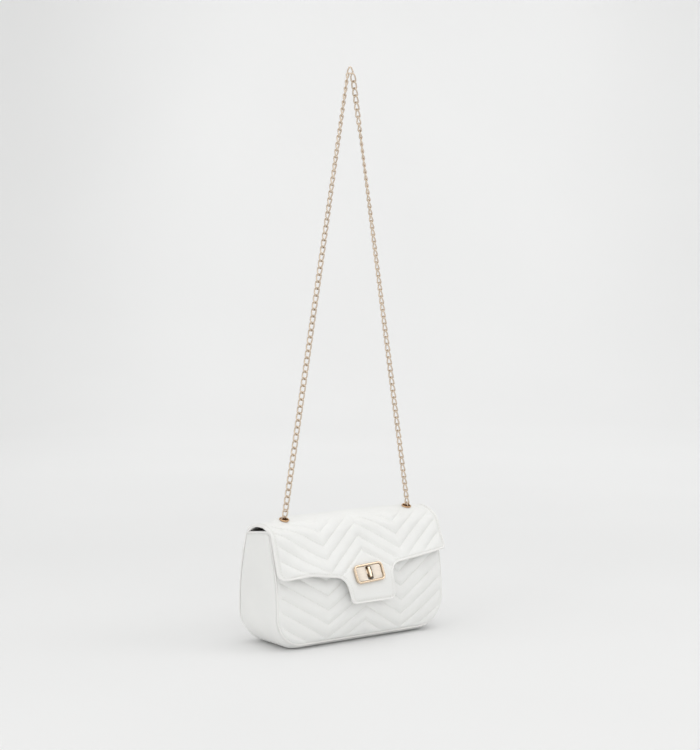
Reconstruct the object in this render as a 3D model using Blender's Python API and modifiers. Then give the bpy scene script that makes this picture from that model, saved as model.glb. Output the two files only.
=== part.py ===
"""Quilted flap handbag with a chain strap, modelled as the separate pieces it is sewn and riveted from.

Run with: blender --background --python part.py
Lengths are in metres. +Z is up, the front of the bag faces -Y, and the origin is the middle of the base.
"""
from math import ceil, cos, hypot, pi, radians, sin

import bmesh
import bpy
from mathutils import Matrix, Vector

# Fits shared by all pieces
GAP = 0.0003
OVERRUN = 0.02

# Body: seam width, depth at the base and at the mouth, height of the mouth
BODY_WIDTH = 0.250
BODY_DEPTH = 0.080
MOUTH_DEPTH = 0.047
MOUTH_HEIGHT = 0.136
BODY_CORNER = 0.036
NARROWING_START_SHARE = 0.35
GUSSET_THICKNESS = 0.002
SIDE_CROWN = 0.002
BASE_CROWN = 0.006
FLAT_SHARE = 0.68

# Quilted panels
PANEL_THICKNESS = 0.0018
QUILT_DEPTH = 0.0012
QUILT_PITCH = 0.0176
CHEVRON_SLOPE = 0.68
CHEVRON_REACH = 0.056
PANEL_PHASE_SHARE = 0.46
FLAP_PHASE_SHARE = 0.49
FRONT_BULGE = 0.009
BACK_BULGE = 0.004
BULGE_RISE_SHARE = 0.8
BULGE_FALL_SHARE = 1.6
WELT_RADIUS = 0.0013

# Inside of the bag
LINING_THICKNESS = 0.0008
LINING_CLEARANCE = 0.0003
BASE_BOARD_MARGIN = 0.013
BINDING_THICKNESS = 0.0015
BINDING_REACH = 0.0018
BINDING_WIDTH = 0.0028
BINDING_CORNER = 0.004
POCKET_MARGIN = 0.055
POCKET_BOTTOM = 0.030
POCKET_DROP = 0.032
POCKET_THICKNESS = 0.001

# Flap: its overhang past the body's seams, the rise of its crown over the mouth, the drop of its edges
# below the mouth, and how far it stands off the front
FLAP_OVERHANG = 0.003
CROWN_RISE = 0.020
SHOULDER_DEPTH = 0.063
FLAP_THICKNESS = 0.0014
FLAP_LINING_GAP = 0.0009
FLAP_LINING_THICKNESS = 0.0006
FLAP_CLEARANCE = 0.0008
FLAP_STAND_OFF = 0.0055
STAND_OFF_START_DROP = 0.012
STAND_OFF_END_DROP = 0.070
BACK_LAP_DROP = 0.024
LEFT_EDGE_DROP = 0.046
RIGHT_EDGE_DROP = 0.0355
NOTCH_DROP = 0.0055
NOTCH_RUN = 0.030
FLAP_CORNER = 0.006
TONGUE_DROP = 0.085
TONGUE_TOP_WIDTH = 0.074
TONGUE_BOTTOM_WIDTH = 0.067
TONGUE_CORNER = 0.008
NOTCH_RADIUS = 0.013
PIPING_RADIUS = 0.0015

# Crown of the flap from the back shoulder to the front one: share of the half depth, share of the rise
CROWN_SHARES = ((0.97, 0.19), (0.80, 0.56), (0.47, 0.88), (0.10, 1.0), (-0.28, 0.92), (-0.60, 0.72),
                (-0.82, 0.47), (-0.97, 0.17))
LAP_TOP_SHARE = 0.16
FOLD_SHARE = -0.60
BACK_KNOT_SHARES = (0.0, 0.5, 1.0)
FRONT_KNOT_SHARES = (0.0, 0.09, 0.19, 0.30, 0.42, 0.54, 0.66, 0.78, 0.90, 1.02)

# Turn lock
LOCK_DROP = 0.050
LOCK_TILT = radians(3.0)
LOCK_WIDTH = 0.0435
LOCK_HEIGHT = 0.0235
LOCK_BORDER = 0.0028
LOCK_CORNER = 0.006
LOCK_SEAT = 0.0003
LOCK_FRAME_THICKNESS = 0.0034
LOCK_PLATE_THICKNESS = 0.0012
LOCK_BACK_THICKNESS = 0.0008
LOCK_BACK_SINK = 0.0010
LOCK_BEVEL = 0.0008
SLOT_WIDTH = 0.0094
SLOT_RIM = 0.0012
SLOT_CORNER = 0.002
SLOT_MARGIN = 0.0008
KNOB_WIDTH = 0.005
KNOB_THICKNESS = 0.0034
KNOB_BEVEL = 0.001
KNOB_TOP_CLEARANCE = 0.0005
KNOB_SWING_ROOM = 0.0036
KNOB_LIFT = 0.0005
STEM_RADIUS = 0.002
BOSS_RADIUS = 0.004
STEM_CLEARANCE = 0.0003
LOCK_BASE_WIDTH = 0.026
LOCK_BASE_HEIGHT = 0.012
LOCK_BASE_THICKNESS = 0.001
LOCK_WASHER_THICKNESS = 0.0008
SCREW_RADIUS = 0.001
SCREW_HEAD_RADIUS = 0.0019
SCREW_HEAD_THICKNESS = 0.0007
SCREW_SPACING = 0.031

# Eyelets
EYELET_INSET = 0.035
EYELET_DEPTH_SHARE = 0.30
EYELET_BORE = 0.0046
EYELET_WALL = 0.0006
EYELET_FLANGE = 0.0023
EYELET_FLANGE_THICKNESS = 0.0013
EYELET_WASHER_THICKNESS = 0.0007
EYELET_WASHER_SINK = 0.0008

# Chain strap and its anchorage inside
CHAIN_RADIUS = 0.0038
STRAP_DROP = 0.5445
STRAP_APEX_SHIFT = 0.0055
STRAP_APEX_HALF_GAP = 0.0045
STRAP_TOP_RISE = 0.0085
STRAP_STUB = 0.006
INNER_STUB = 0.0085
STRAP_POINTS = 30
STRAP_KNOT_SHARES = (0.04, 0.35, 0.7)
TOP_LINK_RADIUS = 0.0010
RING_WIRE_RADIUS = 0.001
RING_WIDTH = 0.015
RING_REACH = 0.009
RING_INNER_CORNER = 0.002
RING_OUTER_CORNER = 0.0055
RING_DROP = 0.018
TAB_THICKNESS = 0.0016
TAB_LENGTH = 0.020
TAB_WIDTH = 0.010
RIVET_RADIUS = 0.003
RIVET_THICKNESS = 0.0012
RIVET_RAISE = 0.006

# Facets
ARC_STEPS = 6
CORNER_STEPS = 9
SEAM_SPACING = 0.016
ROUND_STEPS = 24
SMALL_ROUND_STEPS = 16
TAB_ARC_STEPS = 18
ROWS_PER_RIDGE = 3
PANEL_LEG_COLUMNS = 2
FLAP_LEG_COLUMNS = 5
SMOOTH_ANGLE = radians(35)

PANEL_TOTAL = PANEL_THICKNESS + QUILT_DEPTH
FLAP_TOTAL = QUILT_DEPTH + FLAP_THICKNESS + FLAP_LINING_GAP + FLAP_LINING_THICKNESS

# What follows the width of the body and the height of its mouth
FLAP_WIDTH = BODY_WIDTH + 2 * FLAP_OVERHANG
EYELET_SPACING = FLAP_WIDTH - 2 * EYELET_INSET
POCKET_WIDTH = BODY_WIDTH - 2 * POCKET_MARGIN
POCKET_TOP = MOUTH_HEIGHT - POCKET_DROP
RING_HEIGHT = MOUTH_HEIGHT - RING_DROP
BACK_LAP_BOTTOM = MOUTH_HEIGHT - BACK_LAP_DROP
STAND_OFF_TOP = MOUTH_HEIGHT - STAND_OFF_START_DROP
STAND_OFF_BOTTOM = MOUTH_HEIGHT - STAND_OFF_END_DROP
LEFT_EDGE_HEIGHT = MOUTH_HEIGHT - LEFT_EDGE_DROP
RIGHT_EDGE_HEIGHT = MOUTH_HEIGHT - RIGHT_EDGE_DROP
TONGUE_BOTTOM = MOUTH_HEIGHT - TONGUE_DROP
LOCK_HEIGHT_ON_FLAP = MOUTH_HEIGHT - LOCK_DROP

OUTER_LEATHER = ("white coated leather", (0.86, 0.855, 0.83), 0.42, 0.0)
EDGE_LEATHER = ("white edge leather", (0.88, 0.875, 0.85), 0.40, 0.0)
GOLD = ("rose gold plating", (0.85, 0.60, 0.42), 0.22, 1.0)
CLOTH = ("taupe lining cloth", (0.22, 0.20, 0.18), 0.85, 0.0)
BOARD = ("grey board", (0.45, 0.43, 0.40), 0.90, 0.0)


def start_scene():
    """Empty the scene and make one collection for the bag and one for its cutters."""
    for old in list(bpy.data.objects):
        bpy.data.objects.remove(old, do_unlink=True)
    bag = bpy.data.collections.new("quilted_handbag")
    cutters = bpy.data.collections.new("cutters")
    bpy.context.scene.collection.children.link(bag)
    bpy.context.scene.collection.children.link(cutters)
    return bag, cutters


BAG, CUTTERS = start_scene()
FLAP_PIECES = ("flap_front", "flap_lining", "flap_piping", "lock_frame", "lock_plate", "lock_back_plate",
               "lock_screw_left", "lock_screw_right")


def finish(piece, finish_name):
    """Give a piece its own material and smooth shading between its sharp edges."""
    label, colour, roughness, metallic = finish_name
    material = bpy.data.materials.new(f"{piece.name} {label}")
    material.use_nodes = True
    shader = material.node_tree.nodes["Principled BSDF"]
    shader.inputs["Base Color"].default_value = (*colour, 1.0)
    shader.inputs["Roughness"].default_value = roughness
    shader.inputs["Metallic"].default_value = metallic
    piece.data.materials.append(material)
    if piece.type == "MESH":
        piece.data.shade_smooth()
        piece.data.set_sharp_from_angle(angle=SMOOTH_ANGLE)
    return piece


def link_mesh(name, mesh, cutter=False):
    """Put a mesh in the bag's collection, or among the cutters."""
    piece = bpy.data.objects.new(name, mesh)
    if cutter:
        CUTTERS.objects.link(piece)
        piece.hide_render = True
        piece.display_type = "WIRE"
    else:
        BAG.objects.link(piece)
    return piece


def cut(piece, cutter, operation="DIFFERENCE"):
    """Cut a piece with another mesh."""
    modifier = piece.modifiers.new(f"{operation.lower()} {cutter.name}", "BOOLEAN")
    modifier.operation = operation
    modifier.solver = "EXACT"
    modifier.object = cutter


def bevelled(piece, width):
    """Round a piece's sharp edges."""
    modifier = piece.modifiers.new("rounded edges", "BEVEL")
    modifier.width = width
    modifier.segments = 2
    modifier.limit_method = "ANGLE"
    return piece


def rounded(corners, closed=True, steps=ARC_STEPS):
    """Turn (x, y, radius) corners into points, each radius as an arc."""
    points = []
    count = len(corners)
    for index, (x, y, radius) in enumerate(corners):
        here = Vector((x, y))
        inner = closed or 0 < index < count - 1
        if radius <= 0 or not inner:
            points.append(here)
            continue
        before = Vector(corners[index - 1][:2])
        after = Vector(corners[(index + 1) % count][:2])
        to_before = (before - here).normalized()
        to_after = (after - here).normalized()
        half = to_before.angle(to_after) / 2
        reach = radius * cos(half) / sin(half)
        centre = here + (to_before + to_after).normalized() * (radius / sin(half))
        start = here + to_before * reach - centre
        end = here + to_after * reach - centre
        sweep = start.angle_signed(end)
        for step in range(steps + 1):
            points.append(centre + Matrix.Rotation(-sweep * step / steps, 2) @ start)
    return points


def arc(radius, start, end, steps):
    """Points on an arc about the origin."""
    angles = [start + (end - start) * step / steps for step in range(steps + 1)]
    return [Vector((radius * cos(angle), radius * sin(angle))) for angle in angles]


def divided(points, spacing):
    """Add points on a path's long stretches, so that none is longer than the spacing."""
    result = [points[0]]
    for a, b in zip(points, points[1:]):
        parts = ceil((b - a).length / spacing)
        result += [a.lerp(b, step / parts) for step in range(1, parts + 1)]
    return result


def inset(points, distance, closed=True):
    """Move an outline that runs anticlockwise inwards by a distance."""
    moved = []
    count = len(points)
    for index, point in enumerate(points):
        before = points[index - 1] if closed or index else None
        after = points[(index + 1) % count] if closed or index < count - 1 else None
        into = (point - before).normalized() if before is not None else None
        out = (after - point).normalized() if after is not None else None
        into = out if into is None else into
        out = into if out is None else out
        left_in = Vector((-into.y, into.x))
        left_out = Vector((-out.y, out.x))
        moved.append(point + (left_in + left_out) * (distance / (1 + left_in.dot(left_out))))
    return moved


def along(points, share):
    """Return the point at a share of a path's length, and the direction there."""
    lengths = [(b - a).length for a, b in zip(points, points[1:])]
    target = share * sum(lengths)
    for a, b, length in zip(points, points[1:], lengths):
        if target <= length or b is points[-1]:
            return a.lerp(b, min(target / length, 1.0)), (b - a).normalized()
        target -= length


def smooth_curve(knots, steps=6):
    """Read points from a smooth curve through the knots."""
    points = []
    ends = [knots[0] * 2 - knots[1], *knots, knots[-1] * 2 - knots[-2]]
    for a, b, c, d in zip(ends, ends[1:], ends[2:], ends[3:]):
        for step in range(steps):
            t = step / steps
            points.append(0.5 * (2 * b + (c - a) * t + (2 * a - 5 * b + 4 * c - d) * t ** 2
                                 + (3 * b - a - 3 * c + d) * t ** 3))
    points.append(knots[-1].copy())
    return points


UPRIGHT = Matrix.Rotation(pi / 2, 4, "X")
SIDEWAYS = Matrix(((0, 0, 1, 0), (1, 0, 0, 0), (0, 1, 0, 0), (0, 0, 0, 1)))
FLAT = Matrix.Identity(4)


def prism(name, outline, low, high, frame=FLAT, holes=(), cutter=False):
    """Extrude a flat outline, with its holes, between two levels of its frame."""
    curve = bpy.data.curves.new(name, "CURVE")
    curve.dimensions = "2D"
    curve.fill_mode = "BOTH"
    curve.extrude = (high - low) / 2
    for ring in (outline, *holes):
        spline = curve.splines.new("POLY")
        spline.points.add(len(ring) - 1)
        for slot, point in zip(spline.points, ring):
            slot.co = (point[0], point[1], 0.0, 1.0)
        spline.use_cyclic_u = True
    drawn = bpy.data.objects.new(f"{name} outline", curve)
    drawn.matrix_world = frame @ Matrix.Translation((0.0, 0.0, (low + high) / 2))
    BAG.objects.link(drawn)
    bpy.context.view_layer.update()
    mesh = bpy.data.meshes.new_from_object(drawn.evaluated_get(bpy.context.evaluated_depsgraph_get()))
    placed = drawn.matrix_world.copy()
    bpy.data.objects.remove(drawn, do_unlink=True)
    work = bmesh.new()
    work.from_mesh(mesh)
    bmesh.ops.remove_doubles(work, verts=work.verts, dist=GAP / 100)
    bmesh.ops.recalc_face_normals(work, faces=work.faces)
    work.to_mesh(mesh)
    work.free()
    mesh.name = name
    piece = link_mesh(name, mesh, cutter)
    piece.matrix_world = placed
    return piece


def sheet(name, columns, rows, place, thickness):
    """Bend a grid into an open surface with a function of two shares, and give it a thickness."""
    work = bmesh.new()
    bmesh.ops.create_grid(work, x_segments=columns, y_segments=rows, size=0.5)
    for vertex in work.verts:
        column = round((vertex.co.x + 0.5) * columns)
        row = round((vertex.co.y + 0.5) * rows)
        vertex.co = place(column, row)
    mesh = bpy.data.meshes.new(name)
    work.to_mesh(mesh)
    work.free()
    piece = link_mesh(name, mesh)
    skin = piece.modifiers.new("thickness", "SOLIDIFY")
    skin.thickness = thickness
    skin.offset = -1.0
    return piece


def tube(name, points, radius, finish_name, closed=False, sides=2):
    """Run a round cord or wire through a list of points."""
    curve = bpy.data.curves.new(name, "CURVE")
    curve.dimensions = "3D"
    curve.bevel_depth = radius
    curve.bevel_resolution = sides
    curve.use_fill_caps = True
    spline = curve.splines.new("POLY")
    spline.points.add(len(points) - 1)
    for slot, point in zip(spline.points, points):
        slot.co = (*point, 1.0)
    spline.use_cyclic_u = closed
    piece = bpy.data.objects.new(name, curve)
    BAG.objects.link(piece)
    return finish(piece, finish_name)


def turned(name, profile, frame, steps, cutter=False):
    """Turn a closed (radius, height) profile about the frame's Z axis."""
    mesh = bpy.data.meshes.new(name)
    count = len(profile)
    closed_ring = all(radius > 0 for radius, height in profile)
    edges = [(index, (index + 1) % count) for index in range(count if closed_ring else count - 1)]
    mesh.from_pydata([(radius, 0.0, height) for radius, height in profile], edges, [])
    piece = link_mesh(name, mesh, cutter)
    piece.matrix_world = frame
    screw = piece.modifiers.new("turn", "SCREW")
    screw.axis = "Z"
    screw.angle = 2 * pi
    screw.steps = steps
    screw.render_steps = steps
    screw.use_merge_vertices = True
    screw.merge_threshold = GAP / 100
    return piece


# Shape of the body

def half_depth(z):
    """Half the body's depth at a height: full at the base, drawn in towards the mouth."""
    share = max((z / MOUTH_HEIGHT - NARROWING_START_SHARE) / (1 - NARROWING_START_SHARE), 0.0)
    return (BODY_DEPTH - (BODY_DEPTH - MOUTH_DEPTH) * share ** 2) / 2


def seam_outline(grow=0.0, base_rise=0.0):
    """Rounded outline of the side seams and the base seam, from the left mouth corner to the right one."""
    half = BODY_WIDTH / 2 + grow
    base = BASE_CROWN - grow + base_rise
    radius = BODY_CORNER + grow
    return rounded([(-half, MOUTH_HEIGHT, 0.0), (-half, base, radius), (half, base, radius),
                    (half, MOUTH_HEIGHT, 0.0)], closed=False, steps=CORNER_STEPS)


def swell(x, z, amount):
    """How far a filled panel stands out of the plane of its seams."""
    across = min(abs(x) / (BODY_WIDTH / 2), 1.0)
    up = min(max((z - BASE_CROWN) / (MOUTH_HEIGHT - BASE_CROWN), 0.0), 1.0)
    peak = BULGE_RISE_SHARE / (BULGE_RISE_SHARE + BULGE_FALL_SHARE)
    top = peak ** BULGE_RISE_SHARE * (1 - peak) ** BULGE_FALL_SHARE
    rise = up ** BULGE_RISE_SHARE * (1 - up) ** BULGE_FALL_SHARE / top
    return amount * rise * (1 - across ** 2) ** 0.75


def panel_outside(x, z, amount):
    """Distance of a quilted panel's ridges from the middle plane of the bag."""
    return half_depth(z) + GAP + PANEL_TOTAL + swell(x, z, amount)


def chevron_columns(half_width, parts):
    """Column places that meet the chevron's points, each leg cut in equal parts."""
    stops = (-half_width, -CHEVRON_REACH, 0.0, CHEVRON_REACH, half_width)
    places = [a + (b - a) * step / parts for a, b in zip(stops, stops[1:]) for step in range(parts)]
    return [*places, half_width]


def chevron_dip(x):
    """How far a chevron line lies below its middle point."""
    return CHEVRON_SLOPE * (CHEVRON_REACH - abs(abs(x) - CHEVRON_REACH))


def ridge(row):
    """Height share of a quilt row: stitched channels at every third row, padding between."""
    return 0.0 if row % ROWS_PER_RIDGE == 0 else 1.0


def quilted_panel(name, side, amount):
    """One quilted panel between the seams; side is -1 in front and 1 at the back."""
    places = chevron_columns(BODY_WIDTH / 2, PANEL_LEG_COLUMNS)
    row_step = QUILT_PITCH / ROWS_PER_RIDGE
    phase = PANEL_PHASE_SHARE * QUILT_PITCH
    deepest = chevron_dip(CHEVRON_REACH) + phase
    rows = int((MOUTH_HEIGHT + deepest + 2 * row_step) / row_step) + 1
    rows += -rows % ROWS_PER_RIDGE

    def place(column, row):
        x = places[column]
        z = row * row_step - chevron_dip(x) - phase
        lift = QUILT_DEPTH * (ridge(row) - 1)
        return (-side * x, side * (panel_outside(x, z, amount) + lift), z)

    panel = sheet(name, len(places) - 1, rows, place, PANEL_THICKNESS)
    edge = inset(seam_outline(), 2 * WELT_RADIUS + GAP, closed=False)
    reach = BODY_DEPTH + FRONT_BULGE
    low, high = (0.0, reach) if side < 0 else (-reach, 0.0)
    cut(panel, prism(f"{name} outline cutter", edge, low, high, UPRIGHT, cutter=True), "INTERSECT")
    return finish(panel, OUTER_LEATHER)


def gusset():
    """The one strip that makes the sides and the base, crowned between its seams."""
    path = divided(seam_outline(), SEAM_SPACING)
    rows = 6

    def place(column, row):
        point = path[column]
        direction = path[min(column + 1, len(path) - 1)] - path[max(column - 1, 0)]
        outward = Vector((direction.y, -direction.x)).normalized()
        across = abs(2 * row / rows - 1)
        arch = 1 - max(0.0, (across - FLAT_SHARE) / (1 - FLAT_SHARE)) ** 2
        crown = (SIDE_CROWN + (BASE_CROWN - SIDE_CROWN) * max(0.0, -outward.y)) * arch
        spot = point + outward * crown
        return (spot.x, (2 * row / rows - 1) * half_depth(point.y), max(spot.y, 0.0))

    return finish(sheet("gusset", len(path) - 1, rows, place, -GUSSET_THICKNESS), OUTER_LEATHER)


def welt(name, side):
    """The piped seam between a panel and the gusset."""
    path = divided(inset(seam_outline(), WELT_RADIUS, closed=False), SEAM_SPACING)
    points = [(point.x, side * (half_depth(point.y) + GAP + WELT_RADIUS), point.y) for point in path]
    return tube(name, points, WELT_RADIUS, EDGE_LEATHER, sides=1)


def inner_block(name, grow, base, top, clearance, cutter):
    """The space inside the bag as a block: seam outline by side profile."""
    outline = [point for point in seam_outline(grow, base)]
    outline[0].y = top
    outline[-1].y = top
    block = prism(name, outline, -BODY_DEPTH, BODY_DEPTH, UPRIGHT, cutter=cutter)
    heights = [top * step / 12 for step in range(13)]
    right = [Vector((half_depth(z) - clearance, z)) for z in heights]
    left = [Vector((clearance - half_depth(z), z)) for z in reversed(heights)]
    side_cutter = prism(f"{name} side cutter", right + left, -BODY_WIDTH, BODY_WIDTH, SIDEWAYS, cutter=True)
    cut(block, side_cutter, "INTERSECT")
    return block


def lining_base():
    """Height of the lining's underside, over the gusset's seam allowance."""
    return BASE_CROWN + GUSSET_THICKNESS + GAP


def lining():
    """The cloth inside of the bag, open at the mouth."""
    shrink = GUSSET_THICKNESS + LINING_CLEARANCE
    outer = inner_block("lining", -shrink, 0.0, MOUTH_HEIGHT, LINING_CLEARANCE, cutter=False)
    inner = inner_block("lining cavity cutter", -shrink - LINING_THICKNESS, 0.0, MOUTH_HEIGHT + OVERRUN,
                        LINING_CLEARANCE + LINING_THICKNESS, cutter=True)
    cut(outer, inner)
    return finish(outer, CLOTH)


def rectangle(width, height, radius, middle=(0.0, 0.0)):
    """Rounded rectangle about a middle point."""
    x, y = middle
    half_x = width / 2
    half_y = height / 2
    return rounded([(x - half_x, y - half_y, radius), (x + half_x, y - half_y, radius),
                    (x + half_x, y + half_y, radius), (x - half_x, y + half_y, radius)])


def base_board():
    """The padded board between the gusset and the lining."""
    straight = BODY_WIDTH - 2 * BODY_CORNER
    outline = rectangle(straight, BODY_DEPTH - 2 * BASE_BOARD_MARGIN, BASE_BOARD_MARGIN / 2)
    low = GUSSET_THICKNESS + BASE_CROWN * 0.2 + GAP
    return finish(prism("base_board", outline, low, lining_base() - GAP), BOARD)


def mouth_binding():
    """The turned edge round the mouth, over the tops of the panels, the gusset and the lining."""
    half_x = BODY_WIDTH / 2 + SIDE_CROWN - GAP
    half_y = half_depth(MOUTH_HEIGHT) + BINDING_REACH
    outer = rectangle(2 * half_x, 2 * half_y, BINDING_CORNER)
    inner_x = BODY_WIDTH / 2 - BINDING_WIDTH - GUSSET_THICKNESS
    inner_y = half_y - BINDING_WIDTH - GAP
    inner = rectangle(2 * inner_x, 2 * inner_y, BINDING_CORNER / 2)
    low = MOUTH_HEIGHT + GAP
    return finish(prism("mouth_binding", outer, low, low + BINDING_THICKNESS, holes=(inner,)), EDGE_LEATHER)


def slip_pocket():
    """The flat pocket sewn on the lining's back wall."""
    wall = LINING_CLEARANCE + LINING_THICKNESS + GAP
    heights = [POCKET_BOTTOM + (POCKET_TOP - POCKET_BOTTOM) * step / 8 for step in range(9)]
    back = [Vector((half_depth(z) - wall, z)) for z in heights]
    front = [Vector((half_depth(z) - wall - POCKET_THICKNESS, z)) for z in reversed(heights)]
    return finish(prism("slip_pocket", back + front, -POCKET_WIDTH / 2, POCKET_WIDTH / 2, SIDEWAYS), CLOTH)


# Shape of the flap

def flap_face(z, amount):
    """Distance of the flap's face from the middle plane where it lies on a panel."""
    step = GAP
    slope = (panel_outside(0.0, z - step, amount) - panel_outside(0.0, z + step, amount)) / (2 * step)
    return panel_outside(0.0, z, amount) + FLAP_CLEARANCE + FLAP_TOTAL * hypot(1.0, slope)


def flap_knots():
    """Knots of the flap's outer profile as (y, z), from the lap on the back over the crown to the tongue."""
    knots = []
    lap_top = MOUTH_HEIGHT - CROWN_RISE * LAP_TOP_SHARE
    for share in BACK_KNOT_SHARES:
        z = BACK_LAP_BOTTOM + (lap_top - BACK_LAP_BOTTOM) * share
        knots.append(Vector((flap_face(z, BACK_BULGE), z)))
    for depth_share, rise_share in CROWN_SHARES:
        knots.append(Vector((depth_share * SHOULDER_DEPTH / 2, MOUTH_HEIGHT + rise_share * CROWN_RISE)))
    for share in FRONT_KNOT_SHARES:
        z = lap_top + (TONGUE_BOTTOM - lap_top) * share
        lift = min(max((STAND_OFF_TOP - z) / (STAND_OFF_TOP - STAND_OFF_BOTTOM), 0.0), 1.0)
        lift = FLAP_STAND_OFF * lift * lift * (3 - 2 * lift)
        knots.append(Vector((-flap_face(z, FRONT_BULGE) - lift, z)))
    return knots


PROFILE = smooth_curve(flap_knots())
FOLD_DEPTH = FOLD_SHARE * SHOULDER_DEPTH / 2


def measured_profile():
    """Profile stations as (length from the fold, point, outward direction)."""
    stations = []
    run = 0.0
    for index, point in enumerate(PROFILE):
        if index:
            run += (point - PROFILE[index - 1]).length
        before = PROFILE[max(index - 1, 0)]
        after = PROFILE[min(index + 1, len(PROFILE) - 1)]
        direction = (after - before).normalized()
        outward = Vector((direction.y, -direction.x))
        stations.append([run, point, outward])
    over_mouth = [station for station in stations if station[1].y > MOUTH_HEIGHT]
    fold_run = next(a[0] + (b[0] - a[0]) * (a[1].x - FOLD_DEPTH) / (a[1].x - b[1].x)
                    for a, b in zip(over_mouth, over_mouth[1:]) if a[1].x > FOLD_DEPTH >= b[1].x)
    for station in stations:
        station[0] -= fold_run
    return stations


STATIONS = measured_profile()


def profile_at(run, depth=0.0):
    """Point of the flap's profile at a length in front of the fold, sunk under the surface by a depth."""
    for a, b in zip(STATIONS, STATIONS[1:]):
        if run <= b[0] or b is STATIONS[-1]:
            share = (run - a[0]) / (b[0] - a[0])
            outward = a[2].lerp(b[2], min(max(share, 0.0), 1.0)).normalized()
            return a[1] + (b[1] - a[1]) * share - outward * depth, outward


FOLD_POINT = profile_at(0.0)[0]
TIP_RUN = STATIONS[-1][0]
LAP_RUN = STATIONS[0][0]


def run_at(level, depth=0.0):
    """Length in front of the fold at which the sunk profile passes a height."""
    low, high = 0.0, TIP_RUN
    for step in range(40):
        middle = (low + high) / 2
        if profile_at(middle, depth)[0].y > level:
            low = middle
        else:
            high = middle
    return (low + high) / 2


def flap_outline():
    """Front view of the moving flap as (x, z), anticlockwise from the left end of the fold."""
    half = FLAP_WIDTH / 2
    top = FOLD_POINT.y
    throat = TONGUE_TOP_WIDTH / 2
    foot = TONGUE_BOTTOM_WIDTH / 2
    left_notch = LEFT_EDGE_HEIGHT - NOTCH_DROP
    right_notch = RIGHT_EDGE_HEIGHT - NOTCH_DROP
    return rounded([(half, top, 0.0), (-half, top, 0.0), (-half, LEFT_EDGE_HEIGHT, FLAP_CORNER),
                    (-throat - NOTCH_RUN, LEFT_EDGE_HEIGHT, 0.0), (-throat, left_notch, NOTCH_RADIUS),
                    (-foot, TONGUE_BOTTOM, TONGUE_CORNER), (foot, TONGUE_BOTTOM, TONGUE_CORNER),
                    (throat, right_notch, NOTCH_RADIUS), (throat + NOTCH_RUN, RIGHT_EDGE_HEIGHT, 0.0),
                    (half, RIGHT_EDGE_HEIGHT, FLAP_CORNER)])


def lock_frame_matrix():
    """Frame on the flap's face at the lock: X across, Y up the flap, Z out of it."""
    run = run_at(LOCK_HEIGHT_ON_FLAP)
    point, outward = profile_at(run)
    out = Vector((0.0, outward.x, outward.y))
    side = Vector((1.0, 0.0, 0.0))
    up = out.cross(side)
    frame = Matrix((side, up, out)).transposed().to_4x4()
    frame.translation = Vector((0.0, point.x, point.y))
    return frame @ Matrix.Rotation(LOCK_TILT, 4, "Z")


LOCK_FRAME = lock_frame_matrix()
OPENING_WIDTH = LOCK_WIDTH - 2 * LOCK_BORDER
OPENING_HEIGHT = LOCK_HEIGHT - 2 * LOCK_BORDER
SLOT_HEIGHT = OPENING_HEIGHT - 2 * GAP - 2 * SLOT_RIM
KNOB_LENGTH = SLOT_HEIGHT - KNOB_TOP_CLEARANCE - KNOB_SWING_ROOM
KNOB_CENTRE = SLOT_HEIGHT / 2 - KNOB_TOP_CLEARANCE - KNOB_LENGTH / 2
BACK_PLATE_TOP = -FLAP_TOTAL - LOCK_BACK_SINK
PLATE_TOP = LOCK_SEAT + LOCK_PLATE_THICKNESS
KNOB_BOTTOM = PLATE_TOP + KNOB_LIFT


def panel_levels(width, height, depth):
    """Lowest and highest level, in the lock's frame, of the front panel under a footprint."""
    inverse = LOCK_FRAME.inverted()
    levels = []
    for step_x in range(-4, 5):
        for step_z in range(-4, 5):
            x = step_x * width / 8
            z = LOCK_FRAME.translation.z + step_z * height / 8
            y = -(panel_outside(x, z, FRONT_BULGE) - depth)
            levels.append((inverse @ Vector((x, y, z))).z)
    return min(levels), max(levels)


def quilt_amount(run, x):
    """Share of the quilting depth: it fades in from the fold and stops over the plain tongue."""
    fade = min(max(0.25 + 0.75 * run / QUILT_PITCH, 0.0), 1.0)
    plain_from = run_at(LOCK_HEIGHT_ON_FLAP) - LOCK_HEIGHT * 0.8
    tongue = abs(x) < TONGUE_TOP_WIDTH / 2 + NOTCH_RADIUS and run - chevron_dip(x) > plain_from
    return 0.0 if tongue else fade


def flap_front(openings):
    """The quilted front of the flap with its plain tongue, cut for the lock."""
    places = chevron_columns(FLAP_WIDTH / 2, FLAP_LEG_COLUMNS)
    row_step = QUILT_PITCH / ROWS_PER_RIDGE
    phase = FLAP_PHASE_SHARE * QUILT_PITCH
    lead = int((chevron_dip(CHEVRON_REACH) + phase) / row_step) + 2
    lead += -lead % ROWS_PER_RIDGE
    rows = lead + int((TIP_RUN - chevron_dip(FLAP_WIDTH / 2) + phase) / row_step) + 3

    def place(column, row):
        x = places[column]
        run = (row - lead) * row_step + chevron_dip(x) - phase
        amount = quilt_amount(run, x)
        sunk = QUILT_DEPTH * (amount * (1 - ridge(row)) + (1 - amount) / 2)
        point = profile_at(run, sunk)[0]
        return (x, point.x, point.y)

    flap = sheet("flap_front", len(places) - 1, rows, place, -FLAP_THICKNESS)
    edge = inset(flap_outline(), 2 * PIPING_RADIUS + GAP)
    for point in edge:
        if point.y > LEFT_EDGE_HEIGHT + OVERRUN:
            point.y = FOLD_POINT.y + OVERRUN
    cut(flap, prism("flap outline cutter", edge, -FOLD_POINT.x + GAP / 2, BODY_DEPTH + OVERRUN, UPRIGHT,
                    cutter=True), "INTERSECT")
    for opening in openings:
        cut(flap, opening)
    return finish(flap, OUTER_LEATHER)


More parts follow.
